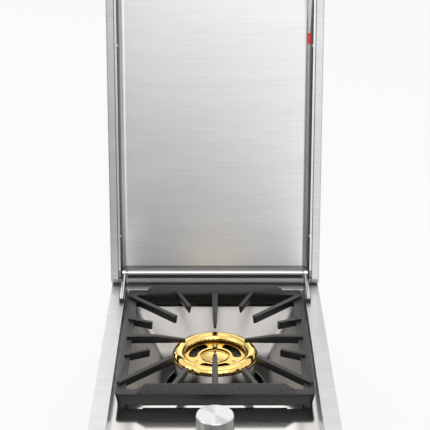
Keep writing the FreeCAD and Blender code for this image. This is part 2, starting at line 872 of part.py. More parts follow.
def burner_bridge():
    """Strap across the box under the burner, with stiffening flanges and end tabs."""
    low_y = burner_y - bridge_width / 2
    high_y = burner_y + bridge_width / 2
    under = bridge_z - bridge_sheet
    span = (-box_inner_x, box_inner_x)
    strap = block(span, (low_y, high_y), (under, bridge_z))
    front = block(span, (low_y, low_y + bridge_sheet), (bridge_z - bridge_flange, bridge_z))
    back = block(span, (high_y - bridge_sheet, high_y), (bridge_z - bridge_flange, bridge_z))
    tab = block((box_inner_x - bridge_sheet, box_inner_x), (low_y, high_y), (bridge_z - bridge_tab, bridge_z))
    bridge = joined([strap, front, back, tab, mirrored(tab)])
    pass_radius = venturi_radius + loose_gap
    bridge = bridge.cut(bar(pass_radius, Vector(0, burner_y, under - 1), Vector(0, burner_y, bridge_z + 1)))
    for x, y in bridge_screw_places():
        hole = bar(bridge_screw_shank_radius + seat_gap, Vector(x, y, under - 1), Vector(x, y, bridge_z + 1))
        bridge = bridge.cut(hole)
    return bridge


def bridge_screws():
    """Screws from the base's flange into the bridge."""
    screws = []
    for x, y in bridge_screw_places():
        seat = bridge_z + throat_flange
        head = bar(bridge_screw_head_radius, Vector(x, y, seat), Vector(x, y, seat + bridge_screw_head_height))
        shank = bar(bridge_screw_shank_radius, Vector(x, y, bridge_z - bridge_sheet - 2), Vector(x, y, seat))
        screws.append(joined([head, shank]))
    return Part.makeCompound(screws)


def venturi_tube():
    """Mixing tube from its open mouth to the throat of the burner."""
    points = [Vector(0, venturi_mouth_y, venturi_z), Vector(0, burner_y, venturi_z), Vector(0, burner_y, bridge_z)]
    return bent_pipe(points, venturi_radius, venturi_wall, venturi_bend)


def air_shutter():
    """Sleeve with two windows that turns on the mouth of the mixing tube."""
    inner = venturi_radius + running_gap
    start = Vector(0, venturi_mouth_y, venturi_z)
    end = Vector(0, venturi_mouth_y + shutter_length, venturi_z)
    sleeve = bar(inner + shutter_wall, start, end).cut(bar(inner, start, end))
    reach = inner + shutter_wall + 1
    window = block(
        (-reach, reach),
        (venturi_mouth_y + shutter_wall + 2, venturi_mouth_y + shutter_wall + 2 + shutter_window),
        (venturi_z - shutter_window / 2, venturi_z + shutter_window / 2))
    screw_y = venturi_mouth_y + shutter_length - shutter_screw_radius - 2
    screw_hole = bar(
        shutter_screw_radius + seat_gap, Vector(0, screw_y, venturi_z), Vector(0, screw_y, venturi_z - reach))
    return sleeve.cut(window).cut(screw_hole)


def shutter_screw():
    """Screw that locks the air shutter."""
    y = venturi_mouth_y + shutter_length - shutter_screw_radius - 2
    seat = venturi_z - venturi_radius - seat_gap
    head_top = venturi_z - venturi_radius - running_gap - shutter_wall - seat_gap
    shank = bar(shutter_screw_radius, Vector(0, y, seat), Vector(0, y, seat - shutter_screw_length))
    head = bar(shutter_screw_radius * 1.8, Vector(0, y, head_top - 2), Vector(0, y, head_top))
    return joined([shank, head])


def valve_bracket():
    """Hat shaped bracket that hangs the valve and the igniter under the deck."""
    front = valve_y - bracket_depth / 2
    back = valve_y + bracket_depth / 2
    plate = block((-bracket_half_width, bracket_half_width), (front, back), (bracket_z - bracket_sheet, bracket_z))
    leg = block(
        (bracket_half_width - bracket_sheet, bracket_half_width), (front, back),
        (bracket_z - bracket_sheet, deck_under_z))
    flange = block(
        (bracket_half_width - bracket_sheet, bracket_half_width + bracket_flange), (front, back),
        (deck_under_z - bracket_sheet, deck_under_z))
    bracket = joined([plate, leg, flange, mirrored(leg), mirrored(flange)])
    low = Vector(0, valve_y, bracket_z - bracket_sheet - 1)
    high = Vector(0, valve_y, bracket_z + 1)
    return bracket.cut(bar(bonnet_nose_radius + seat_gap, low, high))


def valve_bonnet():
    """Guide of the stem, with a nose through the bracket."""
    axis_top = bracket_z + bonnet_nose_height
    flange = bar(bonnet_radius, Vector(0, valve_y, valve_top_z), Vector(0, valve_y, bonnet_z))
    nose = bar(bonnet_nose_radius, Vector(0, valve_y, bonnet_z), Vector(0, valve_y, axis_top))
    bore = bar(stem_radius + running_gap, Vector(0, valve_y, valve_top_z - 1), Vector(0, valve_y, axis_top + 1))
    return joined([flange, nose]).cut(bore)


def valve_body():
    """Brass body with a chamber for the plug and the spring, an inlet and an outlet."""
    outer = hexagon(valve_radius / math.cos(math.radians(30)), Vector(0, valve_y, valve_bottom_z),
                    Vector(0, valve_y, valve_top_z))
    inlet = bar(
        valve_inlet_radius, Vector(0, valve_y, valve_inlet_z),
        Vector(-valve_radius - valve_inlet_length, valve_y, valve_inlet_z))
    chamber_floor = valve_bottom_z + valve_floor
    chamber = bar(plug_radius + running_gap, Vector(0, valve_y, chamber_floor), Vector(0, valve_y, valve_top_z + 1))
    inlet_hole = bar(
        supply_radius - supply_wall, Vector(-plug_radius + 2, valve_y, valve_inlet_z),
        Vector(-valve_radius - valve_inlet_length - 1, valve_y, valve_inlet_z))
    outlet_hole = bar(
        feed_radius - feed_wall, Vector(0, valve_y, valve_bottom_z - 1), Vector(0, valve_y, chamber_floor + 1))
    return joined([outer, inlet]).cut(chamber).cut(inlet_hole).cut(outlet_hole)


def valve_plug():
    """Turning plug with a slot for the stem's tang and a cross drilled port."""
    bottom = valve_bottom_z + valve_floor + loose_gap
    plug = bar(plug_radius, Vector(0, valve_y, bottom), Vector(0, valve_y, plug_top_z))
    slot_half = stem_radius + loose_gap
    slot = block(
        (-slot_half, slot_half),
        (valve_y - plug_slot_width / 2, valve_y + plug_slot_width / 2),
        (plug_top_z - plug_slot_depth, plug_top_z + 1))
    port = bar(
        plug_port_radius, Vector(0, valve_y, valve_inlet_z), Vector(0, valve_y + plug_radius + 1, valve_inlet_z))
    way_out = bar(plug_port_radius, Vector(0, valve_y, bottom - 1), Vector(0, valve_y, valve_inlet_z))
    return plug.cut(slot).cut(port).cut(way_out)


def valve_stem():
    """Stem from the knob through the bonnet, ending in a flat tang."""
    shoulder = plug_top_z + stem_travel + 1
    shaft = bar(stem_radius, Vector(0, valve_y, shoulder), Vector(0, valve_y, stem_top_z))
    tang = bar(stem_radius, Vector(0, valve_y, plug_top_z - stem_tang_depth), Vector(0, valve_y, shoulder))
    slab = block(
        (-stem_radius, stem_radius),
        (valve_y - stem_tang_width / 2, valve_y + stem_tang_width / 2),
        (plug_top_z - stem_tang_depth, shoulder))
    return joined([shaft, tang.common(slab)])


def stem_washer():
    """Collar that the spring lifts against the bonnet."""
    low = Vector(0, valve_y, washer_top_z - washer_height)
    high = Vector(0, valve_y, washer_top_z)
    return bar(washer_radius, low, high).cut(bar(stem_radius + running_gap, low, high))


def stem_spring():
    """Coil spring between the plug and the collar, wound from half turns that meet without a kink."""
    low = plug_top_z + spring_wire_radius + seat_gap
    high = washer_top_z - washer_height - spring_wire_radius - seat_gap
    quarters = 4 * spring_coils

    def on_coil(quarter):
        angle = math.pi * quarter / 2
        z = low + (high - low) * quarter / quarters
        return Vector(spring_coil_radius * math.cos(angle), valve_y + spring_coil_radius * math.sin(angle), z)

    edges = []
    for quarter in range(0, quarters, 2):
        half_turn = Part.Arc(on_coil(quarter), on_coil(quarter + 1), on_coil(quarter + 2))
        edges.append(half_turn.toShape())
    section = Part.Wire([Part.makeCircle(spring_wire_radius, on_coil(0), Vector(0, 1, 0))])
    return Part.Wire(edges).makePipeShell([section], True, False)


def stem_bush():
    """Nylon bush in the deck, round the stem."""
    bottom = deck_z - bush_length
    flange = bar(bush_flange_radius, Vector(0, valve_y, deck_z), Vector(0, valve_y, deck_z + bush_flange_height))
    body = bar(bush_body_radius, Vector(0, valve_y, bottom), Vector(0, valve_y, deck_z))
    high = deck_z + bush_flange_height + 1
    bore = bar(stem_radius + loose_gap, Vector(0, valve_y, bottom - 1), Vector(0, valve_y, high))
    return joined([flange, body]).cut(bore)


def knob():
    """Turned knob with a chamfered edge and a hub that grips the stem."""
    inner = knob_radius - knob_wall
    ceiling = knob_top_z - knob_top
    bore = stem_radius + running_gap
    bore_top = knob_bottom_z + knob_bore_depth
    outline = [
        (0, bore_top), (bore, bore_top), (bore, knob_bottom_z), (knob_hub_radius, knob_bottom_z),
        (knob_hub_radius, ceiling), (inner, ceiling), (inner, knob_bottom_z), (knob_radius - 0.5, knob_bottom_z),
        (knob_radius, knob_bottom_z + 0.5), (knob_radius, knob_top_z - knob_edge),
        (knob_radius - knob_edge, knob_top_z), (0, knob_top_z)]
    return turned(outline, Vector(0, valve_y, 0))


def feed_tube():
    """Tube from the valve's outlet to the orifice."""
    points = [
        Vector(0, valve_y, valve_bottom_z), Vector(0, valve_y, venturi_z),
        Vector(0, feed_end_y, venturi_z)]
    return bent_pipe(points, feed_radius, feed_wall, feed_bend)


def orifice_spud():
    """Brass orifice that blows into the mixing tube."""
    end_y = feed_end_y + orifice_length
    body = hexagon(orifice_radius, Vector(0, feed_end_y, venturi_z), Vector(0, end_y, venturi_z))
    cavity = bar(
        feed_radius - feed_wall, Vector(0, feed_end_y - 1, venturi_z), Vector(0, end_y - 3, venturi_z))
    hole = bar(orifice_hole_radius, Vector(0, end_y - 4, venturi_z), Vector(0, end_y + 1, venturi_z))
    return body.cut(cavity).cut(hole)


def supply_pipe():
    """Pipe from the inlet fitting at the back to the valve."""
    start_x = -valve_radius - valve_inlet_length
    inlet_start = wall_back - inlet_inside_length
    points = [
        Vector(start_x, valve_y, valve_inlet_z), Vector(supply_x, valve_y, valve_inlet_z),
        Vector(supply_x, valve_y, supply_z), Vector(supply_x, inlet_start, supply_z)]
    return bent_pipe(points, supply_radius, supply_wall, supply_bend)


def inlet_fitting():
    """Threaded gas inlet through the back of the box."""
    inside = wall_back - inlet_inside_length
    hex_end = wall_back + inlet_hex_length
    end = hex_end + inlet_thread_length
    barrel = bar(inlet_thread_radius, Vector(supply_x, inside, supply_z), Vector(supply_x, end, supply_z))
    barrel = round_edges(barrel, 1.0, lambda box: box.YMin > end - 0.01)
    nut = hexagon(inlet_hex_radius, Vector(supply_x, wall_back, supply_z), Vector(supply_x, hex_end, supply_z))
    bore = bar(
        supply_radius - supply_wall, Vector(supply_x, inside - 1, supply_z), Vector(supply_x, end + 1, supply_z))
    return joined([barrel, nut]).cut(bore)


def piezo_unit():
    """Spark generator under the valve bracket."""
    top = bonnet_z
    body = bar(piezo_radius, Vector(piezo_x, valve_y, top - piezo_length), Vector(piezo_x, valve_y, top))
    return round_edges(body, 1.0, lambda box: box.ZMax < top - piezo_length + 0.01)


def ignition_lead():
    """Insulated lead from the spark generator to the electrode."""
    start_z = bonnet_z - piezo_length
    electrode_y = burner_y + electrode_circle
    electrode_bottom = top_z - electrode_top_drop - electrode_length
    lead_z = top_z - lead_drop
    points = [
        Vector(piezo_x, valve_y, start_z), Vector(piezo_x, valve_y, lead_z),
        Vector(0, electrode_y, lead_z), Vector(0, electrode_y, electrode_bottom)]
    return bent_bar(points, lead_radius, lead_bend)


def electrode_insulator():
    """Ceramic rod behind the ring."""
    y = burner_y + electrode_circle
    top = top_z - electrode_top_drop
    body = bar(electrode_radius, Vector(0, y, top - electrode_length), Vector(0, y, top))
    return round_edges(body, 0.8, lambda box: box.ZMin > top - 0.01)


def electrode_tip():
    """Wire that leans towards the ring's notch."""
    y = burner_y + electrode_circle
    low = top_z - electrode_top_drop
    high = low + tip_height
    upright = bar(tip_radius, Vector(0, y, low), Vector(0, y, high))
    reach = bar(tip_radius, Vector(0, y + tip_radius, high), Vector(0, y - tip_reach, high))
    return joined([upright, reach])


def electrode_bracket():
    """Tab on the burner's cup that holds the electrode."""
    y = burner_y + electrode_circle
    z = top_z - electrode_tab_drop
    tab = block(
        (-electrode_tab_width / 2, electrode_tab_width / 2),
        (burner_y + base_radius - base_taper - base_wall, y + electrode_tab_end), (z - electrode_tab_sheet, z))
    cup = turned([(0, z - 5), (cup_radius(z - 5), z - 5), (cup_radius(z + 5), z + 5), (0, z + 5)],
                 Vector(0, burner_y, 0))
    hole = bar(electrode_radius + seat_gap, Vector(0, y, z - 5), Vector(0, y, z + 5))
    return tab.cut(cup).cut(hole)


def finger(root, tip, root_width, tip_width, dip_length):
    """Bar from a point on a rail to its tip, narrower below, with the end sloping down where asked."""
    run = tip.sub(root)
    length = run.Length
    top = top_z + finger_rise
    bottom = top - finger_depth
    wires = []
    for z, draft in ((bottom, finger_draft), (top, 0)):
        root_half = root_width / 2 - draft
        tip_half = tip_width / 2 - draft
        corners = [Vector(0, -root_half, z), Vector(length, -tip_half, z)]
        corners += [Vector(length, tip_half, z), Vector(0, root_half, z), Vector(0, -root_half, z)]
        wires.append(Part.makePolygon(corners))
    plan = Part.makeLoft(wires, True, True)
    tip_top = top - finger_dip if dip_length > 0 else top
    profile = [(0, bottom), (length, bottom), (length, tip_top - finger_edge), (length - finger_edge, tip_top)]
    if dip_length > 0:
        profile.append((length - dip_length, top))
    profile.append((0, top))
    points = [Vector(along, -root_width, z) for along, z in profile]
    side = Part.Face(Part.makePolygon(points + points[:1])).extrude(Vector(0, 2 * root_width, 0))
    shape = plan.common(side)
    shape.rotate(Vector(0, 0, 0), UP, math.degrees(math.atan2(run.y, run.x)))
    shape.translate(Vector(root.x, root.y, 0))
    return shape


def grate_fingers():
    """Sixteen fingers, given once for the quarter or half that repeats."""
    side_x = grate_width / 2 - finger_root_inset
    diagonal_x = grate_width / 2 - diagonal_root_inset
    rail_y = grate_depth / 2 - finger_root_inset
    fingers = []
    for sign_x in (-1, 1):
        long_root = Vector(sign_x * side_x, grate_y, 0)
        long_tip = Vector(sign_x * side_finger_tip, grate_y, 0)
        dip_length = side_finger_bend - side_finger_tip
        fingers.append(finger(long_root, long_tip, centre_finger_width, centre_finger_tip_width, dip_length))
        for sign_y in (-1, 1):
            quarter = [
                (diagonal_x, diagonal_root_y, diagonal_tip_x, diagonal_tip_y, diagonal_width),
                (side_x, side_short_root_y, side_short_tip_x, side_short_tip_y, side_short_width),
                (rail_short_root_x, rail_y, rail_short_tip_x, rail_short_tip_y, rail_short_width)]
            for root_x, root_y, tip_x, tip_y, width in quarter:
                root = Vector(sign_x * root_x, grate_y + sign_y * root_y, 0)
                tip = Vector(sign_x * tip_x, grate_y + sign_y * tip_y, 0)
                fingers.append(finger(root, tip, width, width, 0))
    for sign_y in (-1, 1):
        root = Vector(0, grate_y + sign_y * rail_y, 0)
        tip = Vector(0, grate_y + sign_y * centre_finger_tip, 0)
        fingers.append(finger(root, tip, centre_finger_width, centre_finger_tip_width, finger_dip_length))
    return fingers


def grate_rails():
    """Four rails of angle section, with arched skirts at the corners."""
    half_x = grate_width / 2
    half_y = grate_depth / 2
    bottom = top_z - rail_drop
    under_plate = top_z - rail_plate
    rails = tapered_block((half_x - rail_draft, half_x), (half_y - rail_draft, half_y), (bottom, top_z), grate_y)
    rails = round_edges(rails, grate_corner, lambda box: box.ZLength > rail_drop / 2)
    inner_x = half_x - rail_width
    inner_y = half_y - rail_width
    middle = block((-inner_x, inner_x), (grate_y - inner_y, grate_y + inner_y), (bottom - 1, top_z + 1))
    under_x = half_x - rail_skirt
    under_y = half_y - rail_skirt
    under = tapered_block((under_x - rail_draft, under_x), (under_y - rail_draft, under_y), (bottom, top_z), grate_y)
    under = under.cut(block((-half_x, half_x), (grate_y - half_y, grate_y + half_y), (under_plate, top_z + 1)))
    rails = rails.cut(middle).cut(under)
    for sign in (-1, 1):
        arch_x = (sign * arch_start, sign * arch_end)
        arch = block(arch_x, (grate_y - half_y - 1, grate_y + half_y + 1), (bottom - 1, bottom + rail_arch))
        rails = rails.cut(arch)
    return rails


def grate_ridges():
    """Roof shaped ridges that stand on the front and the back rail."""
    ridges = []
    for sign in (-1, 1):
        middle_y = grate_y + sign * (grate_depth / 2 - rail_width / 2)
        ridges.append(tapered_block(
            (ridge_base_half, ridge_top_half), (rail_width / 2, ridge_top_width / 2),
            (top_z, top_z + ridge_height), middle_y))
    return ridges


def grate_legs():
    """Corner legs that stand on the deck."""
    legs = []
    outer_x = grate_width / 2 - leg_inset
    outer_y = grate_depth / 2 - leg_inset
    for sign_x in (-1, 1):
        for sign_y in (-1, 1):
            leg = upright_rounded_block(
                (sign_x * (outer_x - leg_size), sign_x * outer_x),
                (grate_y + sign_y * (outer_y - leg_size), grate_y + sign_y * outer_y),
                (deck_z, top_z - rail_plate), leg_round)
            legs.append(leg)
    return legs


def grate():
    """Cast iron grate in one piece."""
    return joined([grate_rails()] + grate_ridges() + grate_legs() + grate_fingers())


def hinge_arm():
    """Right hinge arm: a rising bar with a bored knuckle."""
    x = (arm_x - arm_thickness / 2, arm_x + arm_thickness / 2)
    outline = [
        (arm_front_y, top_z + arm_front_bottom), (pivot.y, top_z + arm_back_bottom),
        (pivot.y, top_z + arm_back_top), (arm_front_y, top_z + arm_front_top)]
    knuckle = bar(knuckle_radius, Vector(x[0], pivot.y, pivot.z), Vector(x[1], pivot.y, pivot.z))
    bore = bar(neck_radius + running_gap, Vector(x[0] - 1, pivot.y, pivot.z), Vector(x[1] + 1, pivot.y, pivot.z))
    beam = plate_along_x(outline, x)
    beam = round_edges(beam, arm_edge_round, lambda box: box.XLength < 0.01 and box.ZMax > top_z + arm_back_top - 0.01
                       and box.YLength > arm_thickness)
    return joined([beam, knuckle]).cut(bore)


def arm_foot():
    """Black shoe on the frame that holds the front end of the right arm."""
    half = arm_thickness / 2 + foot_wall
    front = arm_front_y - foot_front
    shoe = block((arm_x - half, arm_x + half), (front, front + foot_depth), (top_z, top_z + foot_height))
    return shoe.cut(hinge_arm())


def lid_outline(inset):
    """Side outline of the lid as a face, drawn in by the skin's thickness."""
    rim = lid_rim_t + inset
    skin = lid_skin_t - inset
    low = lid_low_s + inset
    high = lid_high_s - inset
    radius = lid_back_corner - inset
    slant = inset * (math.sqrt(2) - 1)
    chamfer_rim_s = lid_low_s + lid_chamfer + slant
    chamfer_low_t = lid_rim_t + lid_chamfer + slant
    centre = Vector(0, skin - radius, low + radius)
    diagonal = radius / math.sqrt(2)
    arc = Part.Arc(
        Vector(0, skin - radius, low), centre.add(Vector(0, diagonal, -diagonal)), Vector(0, skin, low + radius))
    before = [Vector(0, rim, high), Vector(0, rim, chamfer_rim_s), Vector(0, chamfer_low_t, low)]
    before.append(Vector(0, skin - radius, low))
    edges = [Part.LineSegment(start, end).toShape() for start, end in zip(before, before[1:])]
    edges.append(arc.toShape())
    edges.append(Part.LineSegment(Vector(0, skin, low + radius), Vector(0, skin, high)).toShape())
    edges.append(Part.LineSegment(Vector(0, skin, high), Vector(0, rim, high)).toShape())
    return Part.Face(Part.Wire(edges))


def lid_block(inset):
    """Solid lid drawn in by a thickness on every side."""
    half = lid_width / 2 - inset
    face = lid_outline(inset)
    face.translate(Vector(-half, 0, 0))
    solid = face.extrude(Vector(2 * half, 0, 0))
    rounding = max(lid_edge_round - inset, 0.3)
    return round_edges(solid, rounding, lambda box: is_upright(box) and box.ZLength > lid_high_s / 2)


def lid_shell():
    """Outer skin of the lid, with the rim turned in and notches for the arms."""
    shell = lid_block(0).cut(lid_block(lid_sheet))
    opening_half = lid_width / 2 - rim_width
    chamfer_rim_s = lid_low_s + lid_chamfer
    opening = block(
        (-opening_half, opening_half), (lid_rim_t - 1, lid_rim_t + lid_sheet + 0.2),
        (chamfer_rim_s + 0.6, lid_high_s - rim_width))
    shell = shell.cut(opening)
    notch = block((notch_low_x, notch_high_x), (lid_rim_t - 1, lid_rim_t + lid_chamfer - 3), (notch_low_s, 0))
    shell = shell.cut(notch).cut(mirrored(notch))
    screw = hinge_screw_shape(hinge_screw_radius * 0.6 + seat_gap)
    return in_lid(shell.cut(screw).cut(mirrored(screw)))


def liner_block(inset):
    """Solid inner tray drawn in by the liner's thickness."""
    half = liner_half_width - inset
    back = liner_panel_t + liner_sheet - inset
    low = liner_floor_under_s + inset
    high = liner_high_s + liner_sheet - inset
    front = lid_rim_t + lid_sheet - inset
    tray = block((-half, half), (front, back), (low, high))
    side_round = liner_side_round + liner_sheet - inset
    low_round = liner_low_round + liner_sheet - inset
    tray = round_edges(tray, side_round, lambda box: is_upright(box) and box.YMin > back - 0.01)
    top_round = 3.0 + liner_sheet - inset

    def is_cross_edge(box, s):
        return box.YMin > back - 0.01 and abs(box.ZMin - s) < 0.01 and box.XLength > half

    tray = round_edges(tray, low_round, lambda box: is_cross_edge(box, low))
    return round_edges(tray, top_round, lambda box: is_cross_edge(box, high))


def lid_liner():
    """Inner tray of the lid with its front flange and slots for the arms."""
    outer = liner_block(0)
    inner = liner_block(liner_sheet)
    front = lid_rim_t + lid_sheet
    reach = liner_half_width + liner_flange
    flange = block((-reach, reach), (front, front + liner_sheet), (liner_floor_under_s, liner_high_s + liner_flange))
    tray = joined([outer, flange]).cut(inner)
    floor_front = block(
        (-reach - 1, reach + 1), (front - 1, liner_floor_front_t), (liner_floor_under_s - 1, liner_low_s + 4))
    tray = tray.cut(floor_front)
    slot = block((slot_low_x, slot_high_x), (front - 1, liner_panel_t + liner_sheet + 1),
                 (liner_floor_under_s - 1, slot_top_s))
    neck_hole = bar(neck_radius + seat_gap, Vector(liner_half_width - 4, 0, 0), Vector(liner_half_width + 2, 0, 0))
    for cut in (slot, neck_hole):
        tray = tray.cut(cut).cut(mirrored(cut))
    return in_lid(tray)


def hinge_rod():
    """Polished rod fixed in the lid, with necks that turn in the arms."""
    end = liner_half_width + liner_sheet
    middle = bar(rod_radius, Vector(-rod_half_length, 0, 0), Vector(rod_half_length, 0, 0))
    middle = round_edges(middle, 0.6, lambda box: box.XLength < 0.01)
    neck = bar(neck_radius, Vector(-end, 0, 0), Vector(end, 0, 0))
    return in_lid(joined([middle, neck]))


def hinge_screw_shape(radius, height=6.0):
    """Bar square to the lid's lower chamfer at the right hinge screw."""
    middle_t = lid_rim_t + lid_chamfer - 3.2
    middle_s = lid_low_s + 3.2
    outward = Vector(0, -1, -1).normalize()
    seat = Vector(hinge_screw_x, middle_t, middle_s)
    return bar(radius, seat.sub(outward * (height - hinge_screw_height)), seat.add(outward * hinge_screw_height))


def hinge_screws():
    """Round head screws beside the arms."""
    middle_t = lid_rim_t + lid_chamfer - 3.2
    middle_s = lid_low_s + 3.2
    outward = Vector(0, -1, -1).normalize()
    seat = Vector(hinge_screw_x, middle_t, middle_s)
    head = bar(hinge_screw_radius, seat, seat.add(outward * hinge_screw_height))
    shank = bar(hinge_screw_radius * 0.6, seat.sub(outward * 3), seat)
    screw = joined([head, shank])
    return in_lid(both_sides(screw))


def liner_screws():
    """Four round head screws on the liner's side walls."""
    screws = []
    wall_inside = liner_half_width - liner_sheet
    for s in (liner_screw_low_s, liner_screw_high_s):
        inner = wall_inside - liner_screw_height
        head = bar(liner_screw_radius, Vector(inner, liner_screw_t, s), Vector(wall_inside, liner_screw_t, s))
        head = round_edges(head, liner_screw_height * 0.4, lambda box: box.XMax < inner + 0.01)
        screws.extend([head, mirrored(head)])
    return in_lid(Part.makeCompound(screws))


def lid_bumpers():
    """Rubber pads on the rim, which meet the frame when the lid is down."""
    pad = bar(bumper_radius, Vector(bumper_x, lid_rim_t, bumper_s), Vector(bumper_x, lid_rim_t - bumper_height, bumper_s))
    return in_lid(both_sides(pad))


def handle_tube():
    """Tube handle across the outside of the lid."""
    t = lid_skin_t + handle_stand_off
    half = handle_length / 2
    return in_lid(pipe(handle_radius, handle_wall, Vector(-half, t, handle_s), Vector(half, t, handle_s)))


def handle_caps():
    """Plugs that close the ends of the handle."""
    t = lid_skin_t + handle_stand_off
    half = handle_length / 2
    outer = half + handle_cap_rim
    rim = bar(handle_radius, Vector(half, t, handle_s), Vector(outer, t, handle_s))
    rim = round_edges(rim, handle_cap_rim * 0.6, lambda box: box.XMin > outer - 0.01)
    plug_radius_in_tube = handle_radius - handle_wall - running_gap
    plug = bar(plug_radius_in_tube, Vector(half - handle_cap_depth, t, handle_s), Vector(half, t, handle_s))
    return in_lid(both_sides(joined([rim, plug])))


def handle_posts():
    """Two posts between the lid's skin and the handle."""
    t = lid_skin_t + handle_stand_off
    x = post_spacing / 2
    post = bar(post_radius, Vector(x, lid_skin_t, handle_s), Vector(x, t, handle_s))
    tube = bar(handle_radius, Vector(-handle_length / 2, t, handle_s), Vector(handle_length / 2, t, handle_s))
    return in_lid(both_sides(post.cut(tube)))


def handle_screws():
    """Screws from inside the skin that hold the posts."""
    x = post_spacing / 2
    inside = lid_skin_t - lid_sheet
    head = bar(
        handle_screw_head_radius, Vector(x, inside - handle_screw_head_height, handle_s), Vector(x, inside, handle_s))
    return in_lid(both_sides(head))


def rod_clip():
    """Open cradle in the corner of the liner that holds the rod's grip."""
    high = wand_end_s - clip_from_end
    low = high - clip_length
    room = wand_grip_radius + loose_gap
    reach = room + clip_wall
    cradle = block(
        (wand_x - reach, liner_half_width - liner_sheet), (wand_t - wand_grip_radius * 0.7, liner_panel_t), (low, high))
    cradle = cradle.common(liner_block(liner_sheet))
    seat = bar(room, Vector(wand_x, wand_t, low - 1), Vector(wand_x, wand_t, high + 1))
    mouth = block((wand_x - room, wand_x + room), (lid_rim_t - 5, wand_t), (low - 1, high + 1))
    return in_lid(cradle.cut(seat).cut(mouth))


def lighting_rod():
    """Tapered rod with a round grip, kept upright in the lid."""
    base = Vector(wand_x, wand_t, wand_tip_s + wand_tip_length)
    grip = Vector(wand_x, wand_t, wand_grip_s)
    taper = Part.makeCone(wand_neck_radius, wand_grip_radius, wand_taper_length, base, UP)
    handle = bar(wand_grip_radius, grip, Vector(wand_x, wand_t, wand_end_s))
    handle = round_edges(handle, 1.5, lambda box: box.ZMin > wand_end_s - 0.01)
    return in_lid(joined([taper, handle]))


def rod_tip():
    """Red cap on the lower end of the rod."""
    low = Vector(wand_x, wand_t, wand_tip_s)
    high = Vector(wand_x, wand_t, wand_tip_s + wand_tip_length)
    tip = bar(wand_tip_radius, low, high)
    return in_lid(round_edges(tip, 0.8, lambda box: box.ZLength < 0.01))


def model():
    """Every piece by its name."""
    right_panel = side_panel()
    right_arm = hinge_arm()
    right_foot = arm_foot()
    pieces = {
        "right_side_panel": right_panel,
        "left_side_panel": mirrored(right_panel),
        "hinge_arm_right": right_arm,
        "hinge_arm_left": mirrored(right_arm),
        "arm_foot_right": right_foot,
        "arm_foot_left": mirrored(right_foot),
    }
    makers = [
        top_frame, deck_plate, drip_bowl, front_panel, rear_panel, floor_panel, panel_screws,
        burner_ring, burner_cap, ring_screws, burner_base, burner_bridge, bridge_screws,
        venturi_tube, air_shutter, shutter_screw, valve_bracket, valve_bonnet, valve_body, valve_plug,
        valve_stem, stem_washer, stem_spring, stem_bush, knob, feed_tube, orifice_spud, supply_pipe,
        inlet_fitting, piezo_unit, ignition_lead, electrode_insulator, electrode_tip, electrode_bracket,
        grate, lid_shell, lid_liner, hinge_rod, hinge_screws, liner_screws, lid_bumpers, handle_tube,
        handle_caps, handle_posts, handle_screws, rod_clip, lighting_rod, rod_tip]
    for maker in makers:
        pieces[maker.__name__] = maker()
    return pieces


os.makedirs("parts", exist_ok=True)
for name, shape in sorted(model().items()):
    shape.exportStep("parts/" + name + ".step")
    state = "valid" if shape.isValid() else "NOT VALID"
    print(name, len(shape.Solids), "solids", round(shape.Volume), "mm3", state)
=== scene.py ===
import math

import bpy
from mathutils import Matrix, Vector


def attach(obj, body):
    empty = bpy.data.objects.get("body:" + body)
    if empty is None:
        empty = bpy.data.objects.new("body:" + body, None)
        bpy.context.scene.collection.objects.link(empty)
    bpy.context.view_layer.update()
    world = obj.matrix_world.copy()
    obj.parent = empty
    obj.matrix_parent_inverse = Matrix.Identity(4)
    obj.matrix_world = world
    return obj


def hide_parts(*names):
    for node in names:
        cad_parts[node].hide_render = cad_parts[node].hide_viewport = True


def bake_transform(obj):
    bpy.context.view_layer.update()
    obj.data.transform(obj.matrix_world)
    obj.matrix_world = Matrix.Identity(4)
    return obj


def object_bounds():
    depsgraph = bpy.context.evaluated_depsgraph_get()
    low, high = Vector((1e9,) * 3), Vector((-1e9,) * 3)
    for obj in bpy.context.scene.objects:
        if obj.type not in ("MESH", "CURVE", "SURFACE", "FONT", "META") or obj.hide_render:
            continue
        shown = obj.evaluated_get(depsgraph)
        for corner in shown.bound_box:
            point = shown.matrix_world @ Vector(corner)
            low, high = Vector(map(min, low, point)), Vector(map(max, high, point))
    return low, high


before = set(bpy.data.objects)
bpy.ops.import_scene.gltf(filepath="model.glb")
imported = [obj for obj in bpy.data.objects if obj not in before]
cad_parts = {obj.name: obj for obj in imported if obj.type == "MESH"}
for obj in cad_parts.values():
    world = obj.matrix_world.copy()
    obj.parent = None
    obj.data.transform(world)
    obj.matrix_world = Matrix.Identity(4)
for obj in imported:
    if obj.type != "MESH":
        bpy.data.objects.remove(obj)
bpy.context.view_layer.update()
cad_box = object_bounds()

bl_info = {
    "name": "Built In Side Burner",
    "version": (1, 0, 0),
    "blender": (4, 5, 0),
    "location": "View3D > Sidebar > Side Burner",
    "description": "Dresses the packed model of a built in side burner in its real finishes",
    "category": "Object",
}

# All lengths are in metres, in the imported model's own frame.
MM = 0.001

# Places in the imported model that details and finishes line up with.
BURNER_Y = 51 * MM
RING_WEB_TOP = -29.5 * MM
WELL_RADIUS = 79.5 * MM
BOWL_FLOOR = -83.5 * MM
KNOB_Y = -196 * MM
KNOB_TOP = 11.5 * MM
ARM_INSIDE = 154 * MM
LID_OPENING = 165.3 * MM

# The open lid's liner gets painted shade below this height, a little above the hinge rod.
LINER_SHADE_TOP = 31 * MM

# Smooth shading stops at edges sharper than this, in degrees.
SMOOTH_ANGLE = 50

# The camera stands where the photograph was taken from. It looks down by its tilt, in degrees, and its lens
# and sensor are in mm.
CAMERA_PLACE = (0, -1.799, 0.9815)
CAMERA_TILT = 22.53
CAMERA_LENS = 109.67
CAMERA_SENSOR = 36

FLOOR_SIZE = 30

# Part of the floor's white that doesn't depend on the lamps. The rest is lit, and keeps the shadow.
FLOOR_GLOW = 0.85

